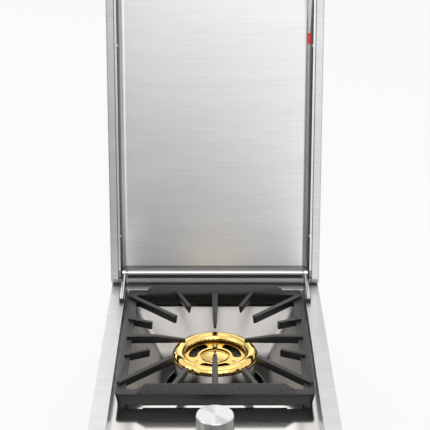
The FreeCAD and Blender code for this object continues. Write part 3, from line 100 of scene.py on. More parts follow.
# Softboxes: name, place, the point they aim at, width and height, watts.
SOFTBOXES = (
    ("softbox_above", (0.5, -2.2, 2.5), (0, 0, 0.1), (2.6, 1.6), 20),
    ("softbox_left", (-2.6, -0.6, 1.9), (0, 0.1, 0.1), (1.6, 1.6), 8),
    ("softbox_top", (0.1, 1.0, 2.5), (0, 0, 0), (1.6, 1.2), 7),
    ("softbox_front", (0.0, -4.0, 1.25), (0.2, 0, 0.3), (5.0, 1.6), 12),
    ("softbox_back", (-1.6, 2.6, 1.4), (0, 0, 0), (2.4, 1.6), 7),
)

# Dark cards that only metal shows: name, place, turn in degrees, width and height.
CARDS = (
    ("card_front", (-1.5, -3.6, 0.0), (90, 0, 0), (3.3, 0.36)),
    ("card_corner", (-1.8, -3.5, 0.9), (90, 0, 0), (2.2, 2.0)),
    ("card_low", (-1.15, -2.0, -0.17), (0, 0, 0), (2.7, 3.2)),
    ("card_left", (-1.3, -0.6, 0.1), (90, 0, 90), (3.0, 0.55)),
    ("card_right", (1.9, -1.7, 0.2), (90, 0, 45), (1.7, 1.1)),
    ("card_back", (0.85, 2.0, 0.5), (90, 0, 0), (1.2, 0.42)),
)


def linear(hex_colour):
    """sRGB hex colour as the linear red, green, blue and alpha that Blender's sockets take."""
    channels = []
    for start in (0, 2, 4):
        value = int(hex_colour[start:start + 2], 16) / 255
        channels.append(value / 12.92 if value <= 0.04045 else ((value + 0.055) / 1.055) ** 2.4)
    return (*channels, 1.0)


def colour_setting(name, description, hex_colour):
    """A colour that a user can change, with its default."""
    return bpy.props.FloatVectorProperty(
        name=name, description=description, subtype="COLOR", size=4, min=0, max=1, default=linear(hex_colour))


def length_setting(name, description, default):
    """A length that a user can change, with its default."""
    return bpy.props.FloatProperty(
        name=name, description=description, default=default, min=0, unit="LENGTH",
        subtype="DISTANCE", precision=5)


class SideBurnerSizes(bpy.types.PropertyGroup):
    """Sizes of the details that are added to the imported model."""

    cast_edge: length_setting("Cast edge", "Radius of the edges of the cast iron grate", 0.7 * MM)
    lip_radius: length_setting("Lip", "Radius of the lip round the burner's well", 0.6 * MM)
    bowl_edge: length_setting("Bowl edge", "Radius of the drip bowl's pressed edges", 1.5 * MM)
    knob_edge: length_setting("Knob edge", "Radius of the knob's turned edges", 0.6 * MM)
    # Real brushed lines are about 0.2 mm apart, and real grit is about 0.5 mm wide. Neither would show in the
    # render, where a pixel is about 1.6 mm wide, so both are drawn coarser.
    grain_pitch: length_setting("Brush grain", "Spacing of the brushed lines that show", 2.6 * MM)
    grain_length: length_setting("Brush stroke", "Length of one brushed line", 70 * MM)
    cast_grit: length_setting("Casting grit", "Size of the grains in the enamelled iron", 2.2 * MM)


class SideBurnerFinishes(bpy.types.PropertyGroup):
    """Colours of the finishes."""

    brushed_steel: colour_setting("Brushed steel", "Stainless steel of the trim", "DDDCDB")
    lid_steel: colour_setting("Lid steel", "Stainless steel of the lid's outer sheet", "D8D8D8")
    liner_steel: colour_setting("Liner steel", "Stainless steel inside the lid", "E6E6E6")
    polished_steel: colour_setting("Polished steel", "Mirror polished stainless steel", "DEDCD9")
    bowl_steel: colour_setting("Bowl steel", "Satin stainless steel of the drip bowl", "CCC8C3")
    box_steel: colour_setting("Box steel", "Mill finished steel of the box", "B9BBBC")
    screw_steel: colour_setting("Screw steel", "Bright steel of the screws", "D8D8D6")
    brass: colour_setting("Brass", "Polished brass of the burner", "F7D582")
    fitting_brass: colour_setting("Fitting brass", "Machined brass of the valve and the inlet", "C9A65A")
    cast_aluminium: colour_setting("Burner cup", "Aluminium of the burner's cup", "C9C8C6")
    knob_aluminium: colour_setting("Knob", "Turned aluminium of the knob", "D9D9D8")
    enamel: colour_setting("Enamel", "Black enamel on the cast iron grate", "404040")
    black_plastic: colour_setting("Black plastic", "Moulded black plastic", "1B1B1C")
    nylon: colour_setting("Nylon", "Natural nylon of the stem's bush", "D9D6CC")
    ceramic: colour_setting("Ceramic", "Glazed ceramic of the electrode", "EFEBE2")
    lead: colour_setting("Lead", "Silicone insulation of the ignition lead", "B8B4AC")
    rubber: colour_setting("Rubber", "Rubber of the lid's pads", "222222")
    rod_steel: colour_setting("Rod", "Plated steel of the lighting rod", "E6E7EA")
    red_cap: colour_setting("Red cap", "Vinyl cap on the end of the lighting rod", "DB4446")


def add_node(material, kind, settings=None, values=None, links=None):
    """Adds a node, sets its own settings and its sockets, and joins earlier sockets to it."""
    new = material.node_tree.nodes.new(kind)
    for name, value in (settings or {}).items():
        setattr(new, name, value)
    for name, value in (values or {}).items():
        new.inputs[name].default_value = value
    for name, socket in (links or {}).items():
        material.node_tree.links.new(socket, new.inputs[name])
    return new


def start_finish(name, colour, *, roughness, metallic, edge=0.0, **values):
    """A new material with one Principled shader, its edges rounded by edge, and the place on the object as a
    socket."""
    material = bpy.data.materials.new(name)
    material.use_nodes = True
    material.node_tree.nodes.clear()
    settings = {"Base Color": colour, "Roughness": roughness, "Metallic": metallic}
    settings.update(values)
    shader = add_node(material, "ShaderNodeBsdfPrincipled", values=settings)
    add_node(material, "ShaderNodeOutputMaterial", links={"Surface": shader.outputs[0]})
    if edge > 0:
        rounding = add_node(material, "ShaderNodeBevel", {"samples": 6}, {"Radius": edge})
        material.node_tree.links.new(rounding.outputs[0], shader.inputs["Normal"])
    place = add_node(material, "ShaderNodeTexCoord").outputs["Object"]
    return material, shader, place


def vary(material, shader, pattern, colour, *, shade, roughness, spread):
    """Makes a pattern from 0 to 1 change the colour, from darker by shade to lighter by less, and spread the
    roughness."""
    lighter = shade * 0.4
    tone = add_node(
        material, "ShaderNodeMapRange",
        values={"From Min": 0.25, "From Max": 0.75, "To Min": 1 - shade, "To Max": 1 + lighter},
        links={"Value": pattern})
    mix = add_node(
        material, "ShaderNodeVectorMath", {"operation": "SCALE"}, {0: colour[:3]}, {"Scale": tone.outputs[0]})
    material.node_tree.links.new(mix.outputs[0], shader.inputs["Base Color"])
    rough = add_node(
        material, "ShaderNodeMapRange",
        values={"To Min": roughness - spread, "To Max": roughness + spread}, links={"Value": pattern})
    material.node_tree.links.new(rough.outputs[0], shader.inputs["Roughness"])


def bump(material, shader, pattern, *, height):
    """Raises the surface by height, in metres, where the pattern is 1, over any rounded edges."""
    relief = add_node(
        material, "ShaderNodeBump", values={"Distance": height, "Strength": 1.0}, links={"Height": pattern})
    for link in shader.inputs["Normal"].links:
        material.node_tree.links.new(link.from_socket, relief.inputs["Normal"])
    material.node_tree.links.new(relief.outputs[0], shader.inputs["Normal"])


def brushed(name, colour, sizes, *, roughness, shade):
    """Stainless steel brushed from side to side: fine lines along X that catch the light unevenly,
    over wider bands where the belt pressed more or less."""
    band_share = 0.3
    band_length, band_pitch = sizes.grain_length / 0.3, sizes.grain_pitch / 0.09
    material, shader, place = start_finish(
        name, colour, roughness=roughness, metallic=1.0, Anisotropic=0.7, **{"Anisotropic Rotation": 0.25})
    stroke = add_node(material, "ShaderNodeCombineXYZ", values={"X": 1.0})
    material.node_tree.links.new(stroke.outputs[0], shader.inputs["Tangent"])
    fine = add_node(
        material, "ShaderNodeMapping",
        values={"Scale": (1 / sizes.grain_length, 1 / sizes.grain_pitch, 1 / sizes.grain_pitch)},
        links={"Vector": place})
    lines = add_node(
        material, "ShaderNodeTexNoise", values={"Scale": 1.0, "Detail": 5.0, "Roughness": 0.7},
        links={"Vector": fine.outputs[0]})
    broad = add_node(
        material, "ShaderNodeMapping", values={"Scale": (1 / band_length, 1 / band_pitch, 1 / band_pitch)},
        links={"Vector": place})
    bands = add_node(
        material, "ShaderNodeTexNoise", values={"Scale": 1.0, "Detail": 3.0},
        links={"Vector": broad.outputs[0]})
    both = add_node(
        material, "ShaderNodeMix", {"data_type": "FLOAT"}, {"Factor": band_share},
        {"A": lines.outputs[0], "B": bands.outputs[0]})
    vary(material, shader, both.outputs[0], colour, shade=shade, roughness=roughness, spread=0.08)
    bump(material, shader, lines.outputs[0], height=0.02 * MM)
    return material


def grained(name, colour, *, grain, roughness, shade, spread, height=0.0, metallic=1.0, edge=0.0, **values):
    """A finish with an even grain of a real size, for cast, moulded, glazed or rolled surfaces."""
    material, shader, place = start_finish(
        name, colour, roughness=roughness, metallic=metallic, edge=edge, **values)
    grains = add_node(
        material, "ShaderNodeTexNoise", values={"Scale": 1 / grain, "Detail": 4.0, "Roughness": 0.6},
        links={"Vector": place})
    vary(material, shader, grains.outputs[0], colour, shade=shade, roughness=roughness, spread=spread)
    if height > 0:
        bump(material, shader, grains.outputs[0], height=height)
    return material


def darken(material, shader, share, dark):
    """Lets the colour go over to a darker one where the share falls from 1 to 0."""
    base = shader.inputs["Base Color"]
    mix = add_node(
        material, "ShaderNodeMix", {"data_type": "RGBA"}, {6: dark, 7: base.default_value}, {0: share})
    for link in base.links:
        material.node_tree.links.new(link.from_socket, mix.inputs[7])
    material.node_tree.links.new(mix.outputs[2], base)


def painted_shade_below(material, *, low, high, dark):
    """Paints shade into a piece's colour, darker from one height down to another."""
    shader = material.node_tree.nodes["Principled BSDF"]
    place = material.node_tree.nodes["Texture Coordinate"].outputs["Object"]
    height = add_node(material, "ShaderNodeSeparateXYZ", links={"Vector": place}).outputs["Z"]
    share = add_node(
        material, "ShaderNodeMapRange", values={"From Min": low, "From Max": high}, links={"Value": height})
    darken(material, shader, share.outputs[0], dark)


def painted_shade_sideways(material, *, start, full, hold=400 * MM, end=401 * MM, dark, front_only=False):
    """Paints shade on both sides of a piece, where shade falls in a fold or a slot. Out from its middle the
    dark starts, is full, holds and ends at these distances. With front_only, it is on the faces that look
    forward at rest."""
    shader = material.node_tree.nodes["Principled BSDF"]
    place = material.node_tree.nodes["Texture Coordinate"].outputs["Object"]
    across = add_node(material, "ShaderNodeSeparateXYZ", links={"Vector": place}).outputs["X"]
    across = add_node(material, "ShaderNodeMath", {"operation": "ABSOLUTE"}, links={0: across}).outputs[0]
    before = add_node(
        material, "ShaderNodeMapRange",
        values={"From Min": start, "From Max": full, "To Min": 1.0, "To Max": 0.0}, links={"Value": across})
    after = add_node(
        material, "ShaderNodeMapRange", values={"From Min": hold, "From Max": end}, links={"Value": across})
    share = add_node(
        material, "ShaderNodeMath", {"operation": "MAXIMUM"},
        links={0: before.outputs[0], 1: after.outputs[0]})
    if front_only:
        facing = material.node_tree.nodes["Texture Coordinate"].outputs["Normal"]
        back = add_node(material, "ShaderNodeSeparateXYZ", links={"Vector": facing}).outputs["Y"]
        back = add_node(
            material, "ShaderNodeMapRange", values={"From Min": -0.9, "From Max": -0.5},
            links={"Value": back})
        share = add_node(
            material, "ShaderNodeMath", {"operation": "MAXIMUM"},
            links={0: share.outputs[0], 1: back.outputs[0]})
    darken(material, shader, share.outputs[0], dark)


def painted_shade_by_facing(material, axis, *, full, none, dark):
    """Paints shade on faces by how far they turn along an axis, as on faces turned away from the light.
    The dark is whole where that part of the normal is full, and gone where it is none. On X, the left and
    the right count alike."""
    shader = material.node_tree.nodes["Principled BSDF"]
    facing = material.node_tree.nodes["Texture Coordinate"].outputs["Normal"]
    part = add_node(material, "ShaderNodeSeparateXYZ", links={"Vector": facing}).outputs[axis]
    if axis == "X":
        part = add_node(material, "ShaderNodeMath", {"operation": "ABSOLUTE"}, links={0: part}).outputs[0]
    share = add_node(
        material, "ShaderNodeMapRange", {"interpolation_type": "SMOOTHSTEP"},
        {"From Min": full, "From Max": none}, {"Value": part})
    darken(material, shader, share.outputs[0], dark)


def painted_shade_in_gaps(material, *, reach, dull, unshaded, dark):
    """Paints shade on a surface where another one stands within reach before it, as shade falls in a gap,
    from ambient occlusion. The dark is whole up to the first given open share, and gone from the second on."""
    shader = material.node_tree.nodes["Principled BSDF"]
    gap = add_node(material, "ShaderNodeAmbientOcclusion", {"samples": 8}, {"Distance": reach})
    share = add_node(
        material, "ShaderNodeMapRange", values={"From Min": dull, "From Max": unshaded},
        links={"Value": gap.outputs["AO"]})
    darken(material, shader, share.outputs[0], dark)


def packed_copy(node_name, piece_name):
    """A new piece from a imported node's mesh, merged, with its flat faces made whole."""
    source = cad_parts[node_name]
    piece = bpy.data.objects.new(piece_name, source.data.copy())
    bpy.context.scene.collection.objects.link(piece)
    bpy.ops.object.select_all(action="DESELECT")
    piece.select_set(True)
    bpy.context.view_layer.objects.active = piece
    if piece.data.has_custom_normals:
        bpy.ops.mesh.customdata_custom_splitnormals_clear()
    bpy.ops.object.mode_set(mode="EDIT")
    bpy.ops.mesh.select_all(action="SELECT")
    bpy.ops.mesh.remove_doubles(threshold=0.01 * MM)
    bpy.ops.mesh.dissolve_limited(angle_limit=math.radians(0.5))
    bpy.ops.object.mode_set(mode="OBJECT")
    return piece


def round_cast_edges(piece, *, width, segments, angle):
    """Rounds the edges that turn by more than an angle, in degrees, and smooths the faces between them."""
    bpy.ops.object.select_all(action="DESELECT")
    piece.select_set(True)
    bpy.context.view_layer.objects.active = piece
    rounding = piece.modifiers.new("cast_edges", "BEVEL")
    rounding.width = width
    rounding.segments = segments
    rounding.limit_method = "ANGLE"
    rounding.angle_limit = math.radians(angle)
    rounding.use_clamp_overlap = True
    rounding.harden_normals = False
    bpy.ops.object.modifier_apply(modifier=rounding.name)
    bpy.ops.object.shade_smooth_by_angle(angle=math.radians(SMOOTH_ANGLE))


def give(node_or_piece, material):
    """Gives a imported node, by its name, or a new piece its material."""
    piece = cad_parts[node_or_piece] if isinstance(node_or_piece, str) else node_or_piece
    piece.data.materials.clear()
    piece.data.materials.append(material)


class SideBurnerStage(bpy.types.Operator):
    """Floor, light and camera"""

    bl_idname = "side_burner.stage"
    bl_label = "Stage"

    def execute(self, context):
        lowest = cad_box[0].z
        bpy.ops.object.select_all(action="DESELECT")
        bpy.ops.mesh.primitive_plane_add(size=FLOOR_SIZE, location=(0, 0, lowest))
        floor = context.object
        floor.name = "floor"
        floor.data.materials.append(self.floor_finish())
        self.world()
        card_finish = self.card_finish()
        for name, place, turn, size in CARDS:
            bpy.ops.mesh.primitive_plane_add(
                size=1, location=place, rotation=[math.radians(angle) for angle in turn])
            card = context.object
            card.name = name
            card.scale = (*size, 1)
            card.data.materials.append(card_finish)
            card.visible_camera = False
            card.visible_diffuse = False
            card.visible_shadow = False
        for name, place, aim, size, power in SOFTBOXES:
            bpy.ops.object.light_add(type="AREA", location=place)
            lamp = context.object
            lamp.name = name
            lamp.data.shape = "RECTANGLE"
            lamp.data.size, lamp.data.size_y = size
            lamp.data.energy = power
            lamp.rotation_euler = (Vector(aim) - Vector(place)).to_track_quat("-Z", "Y").to_euler()
        bpy.ops.object.camera_add(location=CAMERA_PLACE, rotation=(math.radians(90 - CAMERA_TILT), 0, 0))
        camera = context.object
        camera.data.sensor_width = CAMERA_SENSOR
        camera.data.lens = CAMERA_LENS
        camera.data.clip_start = 0.05
        context.scene.camera = camera
        context.scene.view_settings.view_transform = "Standard"
        return {"FINISHED"}

    def card_finish(self):
        """Dark matt card that gives polished metal something to show beside the white."""
        card = bpy.data.materials.new("dark_matt_card")
        card.use_nodes = True
        card.node_tree.nodes.clear()
        dark = add_node(card, "ShaderNodeEmission", values={"Color": (1, 1, 1, 1), "Strength": 0.12})
        add_node(card, "ShaderNodeOutputMaterial", links={"Surface": dark.outputs[0]})
        return card

    def floor_finish(self):
        """Pale matt floor that shows white to the camera and in metal, with the object's shadow kept."""
        floor = bpy.data.materials.new("pale_matt_floor")
        floor.use_nodes = True
        floor.node_tree.nodes.clear()
        path = add_node(floor, "ShaderNodeLightPath")
        seen = add_node(
            floor, "ShaderNodeMath", {"operation": "MAXIMUM"},
            links={0: path.outputs["Is Camera Ray"], 1: path.outputs["Is Glossy Ray"]})
        seen = add_node(
            floor, "ShaderNodeMath", {"operation": "MAXIMUM"},
            links={0: seen.outputs[0], 1: path.outputs["Is Transmission Ray"]})
        share = add_node(
            floor, "ShaderNodeMath", {"operation": "MULTIPLY"}, {1: FLOOR_GLOW}, {0: seen.outputs[0]})
        matt = add_node(floor, "ShaderNodeBsdfDiffuse", values={"Color": linear("F7F7F7")})
        white = add_node(floor, "ShaderNodeEmission", values={"Color": (1, 1, 1, 1), "Strength": 1.0})
        mixed = add_node(
            floor, "ShaderNodeMixShader",
            links={0: share.outputs[0], 1: matt.outputs[0], 2: white.outputs[0]})
        add_node(floor, "ShaderNodeOutputMaterial", links={"Surface": mixed.outputs[0]})
        return floor

    def world(self):
        """White surroundings for the camera and in metal, and a softer level for the light."""
        world = bpy.data.worlds.new("studio")
        bpy.context.scene.world = world
        world.use_nodes = True
        world.node_tree.nodes.clear()
        path = add_node(world, "ShaderNodeLightPath")
        seen = add_node(
            world, "ShaderNodeMath", {"operation": "MAXIMUM"},
            links={0: path.outputs["Is Camera Ray"], 1: path.outputs["Is Glossy Ray"]})
        seen = add_node(
            world, "ShaderNodeMath", {"operation": "MAXIMUM"},
            links={0: seen.outputs[0], 1: path.outputs["Is Transmission Ray"]})
        soft = add_node(world, "ShaderNodeBackground", values={"Color": (1, 1, 1, 1), "Strength": 0.6})
        white = add_node(world, "ShaderNodeBackground", values={"Color": (1, 1, 1, 1), "Strength": 1.0})
        mixed = add_node(
            world, "ShaderNodeMixShader",
            links={0: seen.outputs[0], 1: soft.outputs[0], 2: white.outputs[0]})
        add_node(world, "ShaderNodeOutputWorld", links={"Surface": mixed.outputs[0]})


class SideBurnerTrim(bpy.types.Operator):
    """Top frame, deck and bowl"""

    bl_idname = "side_burner.trim"
    bl_label = "Trim, deck and bowl"

    def execute(self, context):
        colours = context.scene.side_burner_finishes
        sizes = context.scene.side_burner_sizes
        # Brushed with a belt: soft reflections drawn out across the strokes, and fine side to side lines.
        trim = brushed(
            "brushed_stainless_steel", colours.brushed_steel, sizes, roughness=0.34, shade=0.2)
        give("top_frame", trim)
        # Polished with a wheel: the grate and the knob show in it, slightly soft.
        deck = grained(
            "mirror_polished_stainless_steel", colours.polished_steel, grain=40 * MM, roughness=0.12,
            shade=0.02, spread=0.02)
        give("deck_plate", deck)
        # Pressed from rolled sheet: an even satin, with painted shade darkening it towards the floor.
        bowl = grained(
            "satin_stainless_steel", colours.bowl_steel, grain=9 * MM, roughness=0.34, shade=0.02,
            spread=0.02, edge=sizes.bowl_edge)
        painted_shade_below(bowl, low=BOWL_FLOOR - 0.5 * MM, high=BOWL_FLOOR + 9.5 * MM, dark=linear("3E3C3A"))
        give("drip_bowl", bowl)
        self.well_lip(colours, sizes)
        return {"FINISHED"}

    def well_lip(self, colours, sizes):
        """Rolled lip of the bowl around the burner's well."""
        sunk = sizes.lip_radius / 3
        bpy.ops.object.select_all(action="DESELECT")
        bpy.ops.mesh.primitive_torus_add(
            location=(0, BURNER_Y, BOWL_FLOOR + sunk), major_radius=WELL_RADIUS + sizes.lip_radius,
            minor_radius=sizes.lip_radius, major_segments=96, minor_segments=12)
        lip = bpy.context.object
        lip.name = "well_lip"
        bpy.ops.object.mode_set(mode="EDIT")
        bpy.ops.mesh.select_all(action="SELECT")
        bpy.ops.transform.resize(value=(1, 1, 0.9))
        bpy.ops.mesh.bisect(
            plane_co=(0, BURNER_Y, BOWL_FLOOR - sunk), plane_no=(0, 0, -1), clear_outer=True, use_fill=True)
        bpy.ops.object.mode_set(mode="OBJECT")
        bpy.ops.object.transform_apply(location=True, rotation=True, scale=True)
        bpy.ops.object.shade_smooth_by_angle(angle=math.radians(SMOOTH_ANGLE))
        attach(lip, "burner_box")
        # Rolled smooth: the tight round catches a thin bright arc.
        steel = grained(
            "rolled_bright_steel_lip", colours.polished_steel, grain=9 * MM, roughness=0.15, shade=0.02,
            spread=0.03)
        give(lip, steel)


class SideBurnerBurner(bpy.types.Operator):
    """Brass ring and cap on their aluminium cup"""

    bl_idname = "side_burner.burner"
    bl_label = "Burner"

    def execute(self, context):
        colours = context.scene.side_burner_finishes
        # Cast and polished: bright sharp reflections on top. Painted shade makes the web a deeper yellow, and
        # the sides and the corners brown.
        ring_brass = grained(
            "polished_brass", colours.brass, grain=12 * MM, roughness=0.06, shade=0.02, spread=0.02)
        painted_shade_below(
            ring_brass, low=RING_WEB_TOP + 0.1 * MM, high=RING_WEB_TOP + 2 * MM, dark=linear("F0C468"))
        painted_shade_in_gaps(ring_brass, reach=14 * MM, dull=0.3, unshaded=0.8, dark=linear("8A5418"))
        painted_shade_by_facing(ring_brass, "Z", full=0.1, none=0.5, dark=linear("2A1B0B"))
        give("burner_ring", ring_brass)
        # Spun and polished: a bright dome, with painted shade giving it a brown edge and a dark groove round
        # it.
        cap_brass = grained(
            "spun_brass", colours.brass, grain=12 * MM, roughness=0.08, shade=0.02, spread=0.02)
        painted_shade_in_gaps(cap_brass, reach=5 * MM, dull=0.45, unshaded=0.9, dark=linear("8A5418"))
        painted_shade_by_facing(cap_brass, "Z", full=0.2, none=0.9, dark=linear("5A3A14"))
        give("burner_cap", cap_brass)
        # Cast and machined outside: tall light and dark streaks of what stands round it.
        cup = grained(
            "machined_aluminium", colours.cast_aluminium, grain=2 * MM, roughness=0.13, shade=0.05,
            spread=0.04)
        give("burner_base", cup)
        # Cold rolled sheet, left as it comes from the mill: dull grey with faint clouds.
        for name in ("burner_bridge", "electrode_bracket", "valve_bracket"):
            sheet = grained(
                "mill_finished_steel_" + name, colours.box_steel, grain=5 * MM, roughness=0.38, shade=0.06,
                spread=0.06, height=0.01 * MM)
            give(name, sheet)
        # Fired and glazed: white with small sharp lights.
        ceramic = grained(
            "glazed_ceramic", colours.ceramic, grain=1 * MM, roughness=0.2, metallic=0.0, shade=0.03,
            spread=0.04, height=0.01 * MM)
        give("electrode_insulator", ceramic)
        # Drawn wire: bright, with a soft edge to its reflections.
        wire = grained(
            "bright_steel_wire", colours.screw_steel, grain=1 * MM, roughness=0.3, shade=0.05, spread=0.06)
        give("electrode_tip", wire)
        # Extruded silicone: matt and slightly uneven.
        lead = grained(
            "silicone_rubber_lead", colours.lead, grain=1 * MM, roughness=0.5, metallic=0.0, shade=0.05,
            spread=0.06, height=0.01 * MM)
        give("ignition_lead", lead)
        # Moulded with a fine grain: black with broad dull lights.
        plastic = grained(
            "moulded_black_plastic_igniter", colours.black_plastic, grain=0.6 * MM, roughness=0.45,
            metallic=0.0, shade=0.1, spread=0.05, height=0.02 * MM)
        give("piezo_unit", plastic)
        return {"FINISHED"}


class SideBurnerGrate(bpy.types.Operator):
    """Cast iron grate"""

    bl_idname = "side_burner.grate"
    bl_label = "Grate"

    def execute(self, context):
        colours = context.scene.side_burner_finishes
        sizes = context.scene.side_burner_sizes
        grate = packed_copy("grate", "cast_grate")
        round_cast_edges(grate, width=sizes.cast_edge, segments=2, angle=35)
        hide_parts("grate")
        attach(grate, "lift_off_grate")
        # Enamel fired on sand cast iron: black with a grit that breaks up soft lights, and paler on the faces
        # that look up, as painted shade darkens the rest.
        enamel = grained(
            "black_enamel_on_cast_iron", colours.enamel, grain=sizes.cast_grit, roughness=0.38,
            metallic=0.0, shade=0.65, spread=0.1, height=0.2 * MM, IOR=1.4)
        painted_shade_by_facing(enamel, "Z", full=0.1, none=0.42, dark=linear("1C1C1C"))
        give(grate, enamel)
        return {"FINISHED"}


class SideBurnerControl(bpy.types.Operator):
    """Knob, stem and valve"""

    bl_idname = "side_burner.control"
    bl_label = "Knob and valve"

    def execute(self, context):
        colours = context.scene.side_burner_finishes
        sizes = context.scene.side_burner_sizes
        give("knob", self.turned_aluminium(colours, sizes))
        # Turned and milled brass, unpolished: soft yellow lights with fine tool marks.
        brass = grained(
            "machined_brass", colours.fitting_brass, grain=1 * MM, roughness=0.28, shade=0.06, spread=0.06,
            height=0.01 * MM)
        for name in ("valve_body", "valve_plug", "valve_bonnet", "orifice_spud", "inlet_fitting"):
            give(name, brass)
        # Drawn and ground steel: bright, with soft reflections.
        steel = grained(
            "bright_steel", colours.screw_steel, grain=1 * MM, roughness=0.3, shade=0.05, spread=0.06)
        for name in ("valve_stem", "stem_washer", "air_shutter", "shutter_screw"):
            give(name, steel)
        self.valve_spring(steel)
        # Moulded nylon without dye: milky and waxy.
        nylon = grained(
            "natural_nylon", colours.nylon, grain=1 * MM, roughness=0.45, metallic=0.0, shade=0.04,
            spread=0.05, height=0.01 * MM)
        give("stem_bush", nylon)
        # Drawn tube: grey with long soft lights.
        pipe = grained(
            "drawn_aluminium_tube", colours.cast_aluminium, grain=2 * MM, roughness=0.35, shade=0.06,
            spread=0.06, height=0.01 * MM)
        for name in ("feed_tube", "supply_pipe", "venturi_tube"):
            give(name, pipe)
        return {"FINISHED"}

    def valve_spring(self, steel):
        """The valve's spring, a smooth copy that stands in for the imported one."""
        spring = packed_copy("stem_spring", "wound_stem_spring")
        bpy.ops.object.shade_smooth_by_angle(angle=math.radians(SMOOTH_ANGLE))
        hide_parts("stem_spring")
        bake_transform(spring)
        give(spring, steel)

    def turned_aluminium(self, colours, sizes):
        """Turned aluminium: the cutter's circles spread the light, and two bright and two duller fans are
        painted on the face as a painted reflection. The blasted side under the chamfer is duller, and painted
        shade makes it darker."""
        # The painted fans' tone is a cosine of the turn round the knob's axis, which starts at fan_angle, in
        # radians.
        fan_pairs = 2
        fan_angle = 2.2
        painted_fan_tone = 0.74
        painted_side_shade = 0.58
        side_roughness = 0.35
        face_roughness = 0.25
        material, shader, place = start_finish(
            "turned_aluminium", colours.knob_aluminium, roughness=0.3, metallic=1.0, edge=sizes.knob_edge,
            Anisotropic=0.85, **{"Anisotropic Rotation": 0.25})
        circles = add_node(material, "ShaderNodeTangent", {"direction_type": "RADIAL", "axis": "Z"})
        material.node_tree.links.new(circles.outputs[0], shader.inputs["Tangent"])
        height = add_node(material, "ShaderNodeSeparateXYZ", links={"Vector": place}).outputs["Z"]
        face = add_node(
            material, "ShaderNodeMapRange",
            values={"From Min": KNOB_TOP - 1.8 * MM, "From Max": KNOB_TOP - 1.3 * MM},
            links={"Value": height})
        around_axis = add_node(
            material, "ShaderNodeMapping", values={"Location": (0, -KNOB_Y, 0)}, links={"Vector": place})
        turn = add_node(
            material, "ShaderNodeTexGradient", {"gradient_type": "RADIAL"},
            links={"Vector": around_axis.outputs[0]})
        fans = add_node(
            material, "ShaderNodeMath", {"operation": "MULTIPLY"}, {1: 2 * math.pi * fan_pairs},
            {0: turn.outputs[1]})
        fans = add_node(
            material, "ShaderNodeMath", {"operation": "ADD"}, {1: fan_angle}, {0: fans.outputs[0]})
        fans = add_node(material, "ShaderNodeMath", {"operation": "COSINE"}, links={0: fans.outputs[0]})
        fans = add_node(
            material, "ShaderNodeMapRange",
            values={"From Min": 0.4, "From Max": 1.0, "To Min": 1.0, "To Max": painted_fan_tone},
            links={"Value": fans.outputs[0]})
        tone = add_node(
            material, "ShaderNodeMix", {"data_type": "FLOAT"}, {"A": painted_side_shade},
            {"Factor": face.outputs[0], "B": fans.outputs[0]})
        shaded = add_node(
            material, "ShaderNodeVectorMath", {"operation": "SCALE"}, {0: colours.knob_aluminium[:3]},
            {"Scale": tone.outputs[0]})
        material.node_tree.links.new(shaded.outputs[0], shader.inputs["Base Color"])
        rough = add_node(
            material, "ShaderNodeMapRange", values={"To Min": side_roughness, "To Max": face_roughness},
            links={"Value": face.outputs[0]})
        material.node_tree.links.new(rough.outputs[0], shader.inputs["Roughness"])
        return material


class SideBurnerBox(bpy.types.Operator):
    """Box under the counter"""

    bl_idname = "side_burner.box"
    bl_label = "Box"

    def execute(self, context):
        colours = context.scene.side_burner_finishes
        # Folded from sheet as it comes from the mill: plain grey with faint clouds.
        steel = grained(
            "mill_finished_steel", colours.box_steel, grain=6 * MM, roughness=0.4, shade=0.05, spread=0.06,
            height=0.01 * MM)
        for name in ("left_side_panel", "right_side_panel", "front_panel", "rear_panel", "floor_panel"):
            give(name, steel)
        # Cold headed and tumbled: small bright heads.
        bright = grained(
            "bright_screw_steel", colours.screw_steel, grain=1 * MM, roughness=0.25, shade=0.05, spread=0.06)
        for name in (
                "panel_screws", "ring_screws", "bridge_screws", "hinge_screws", "liner_screws",
                "handle_screws"):
            give(name, bright)
        return {"FINISHED"}


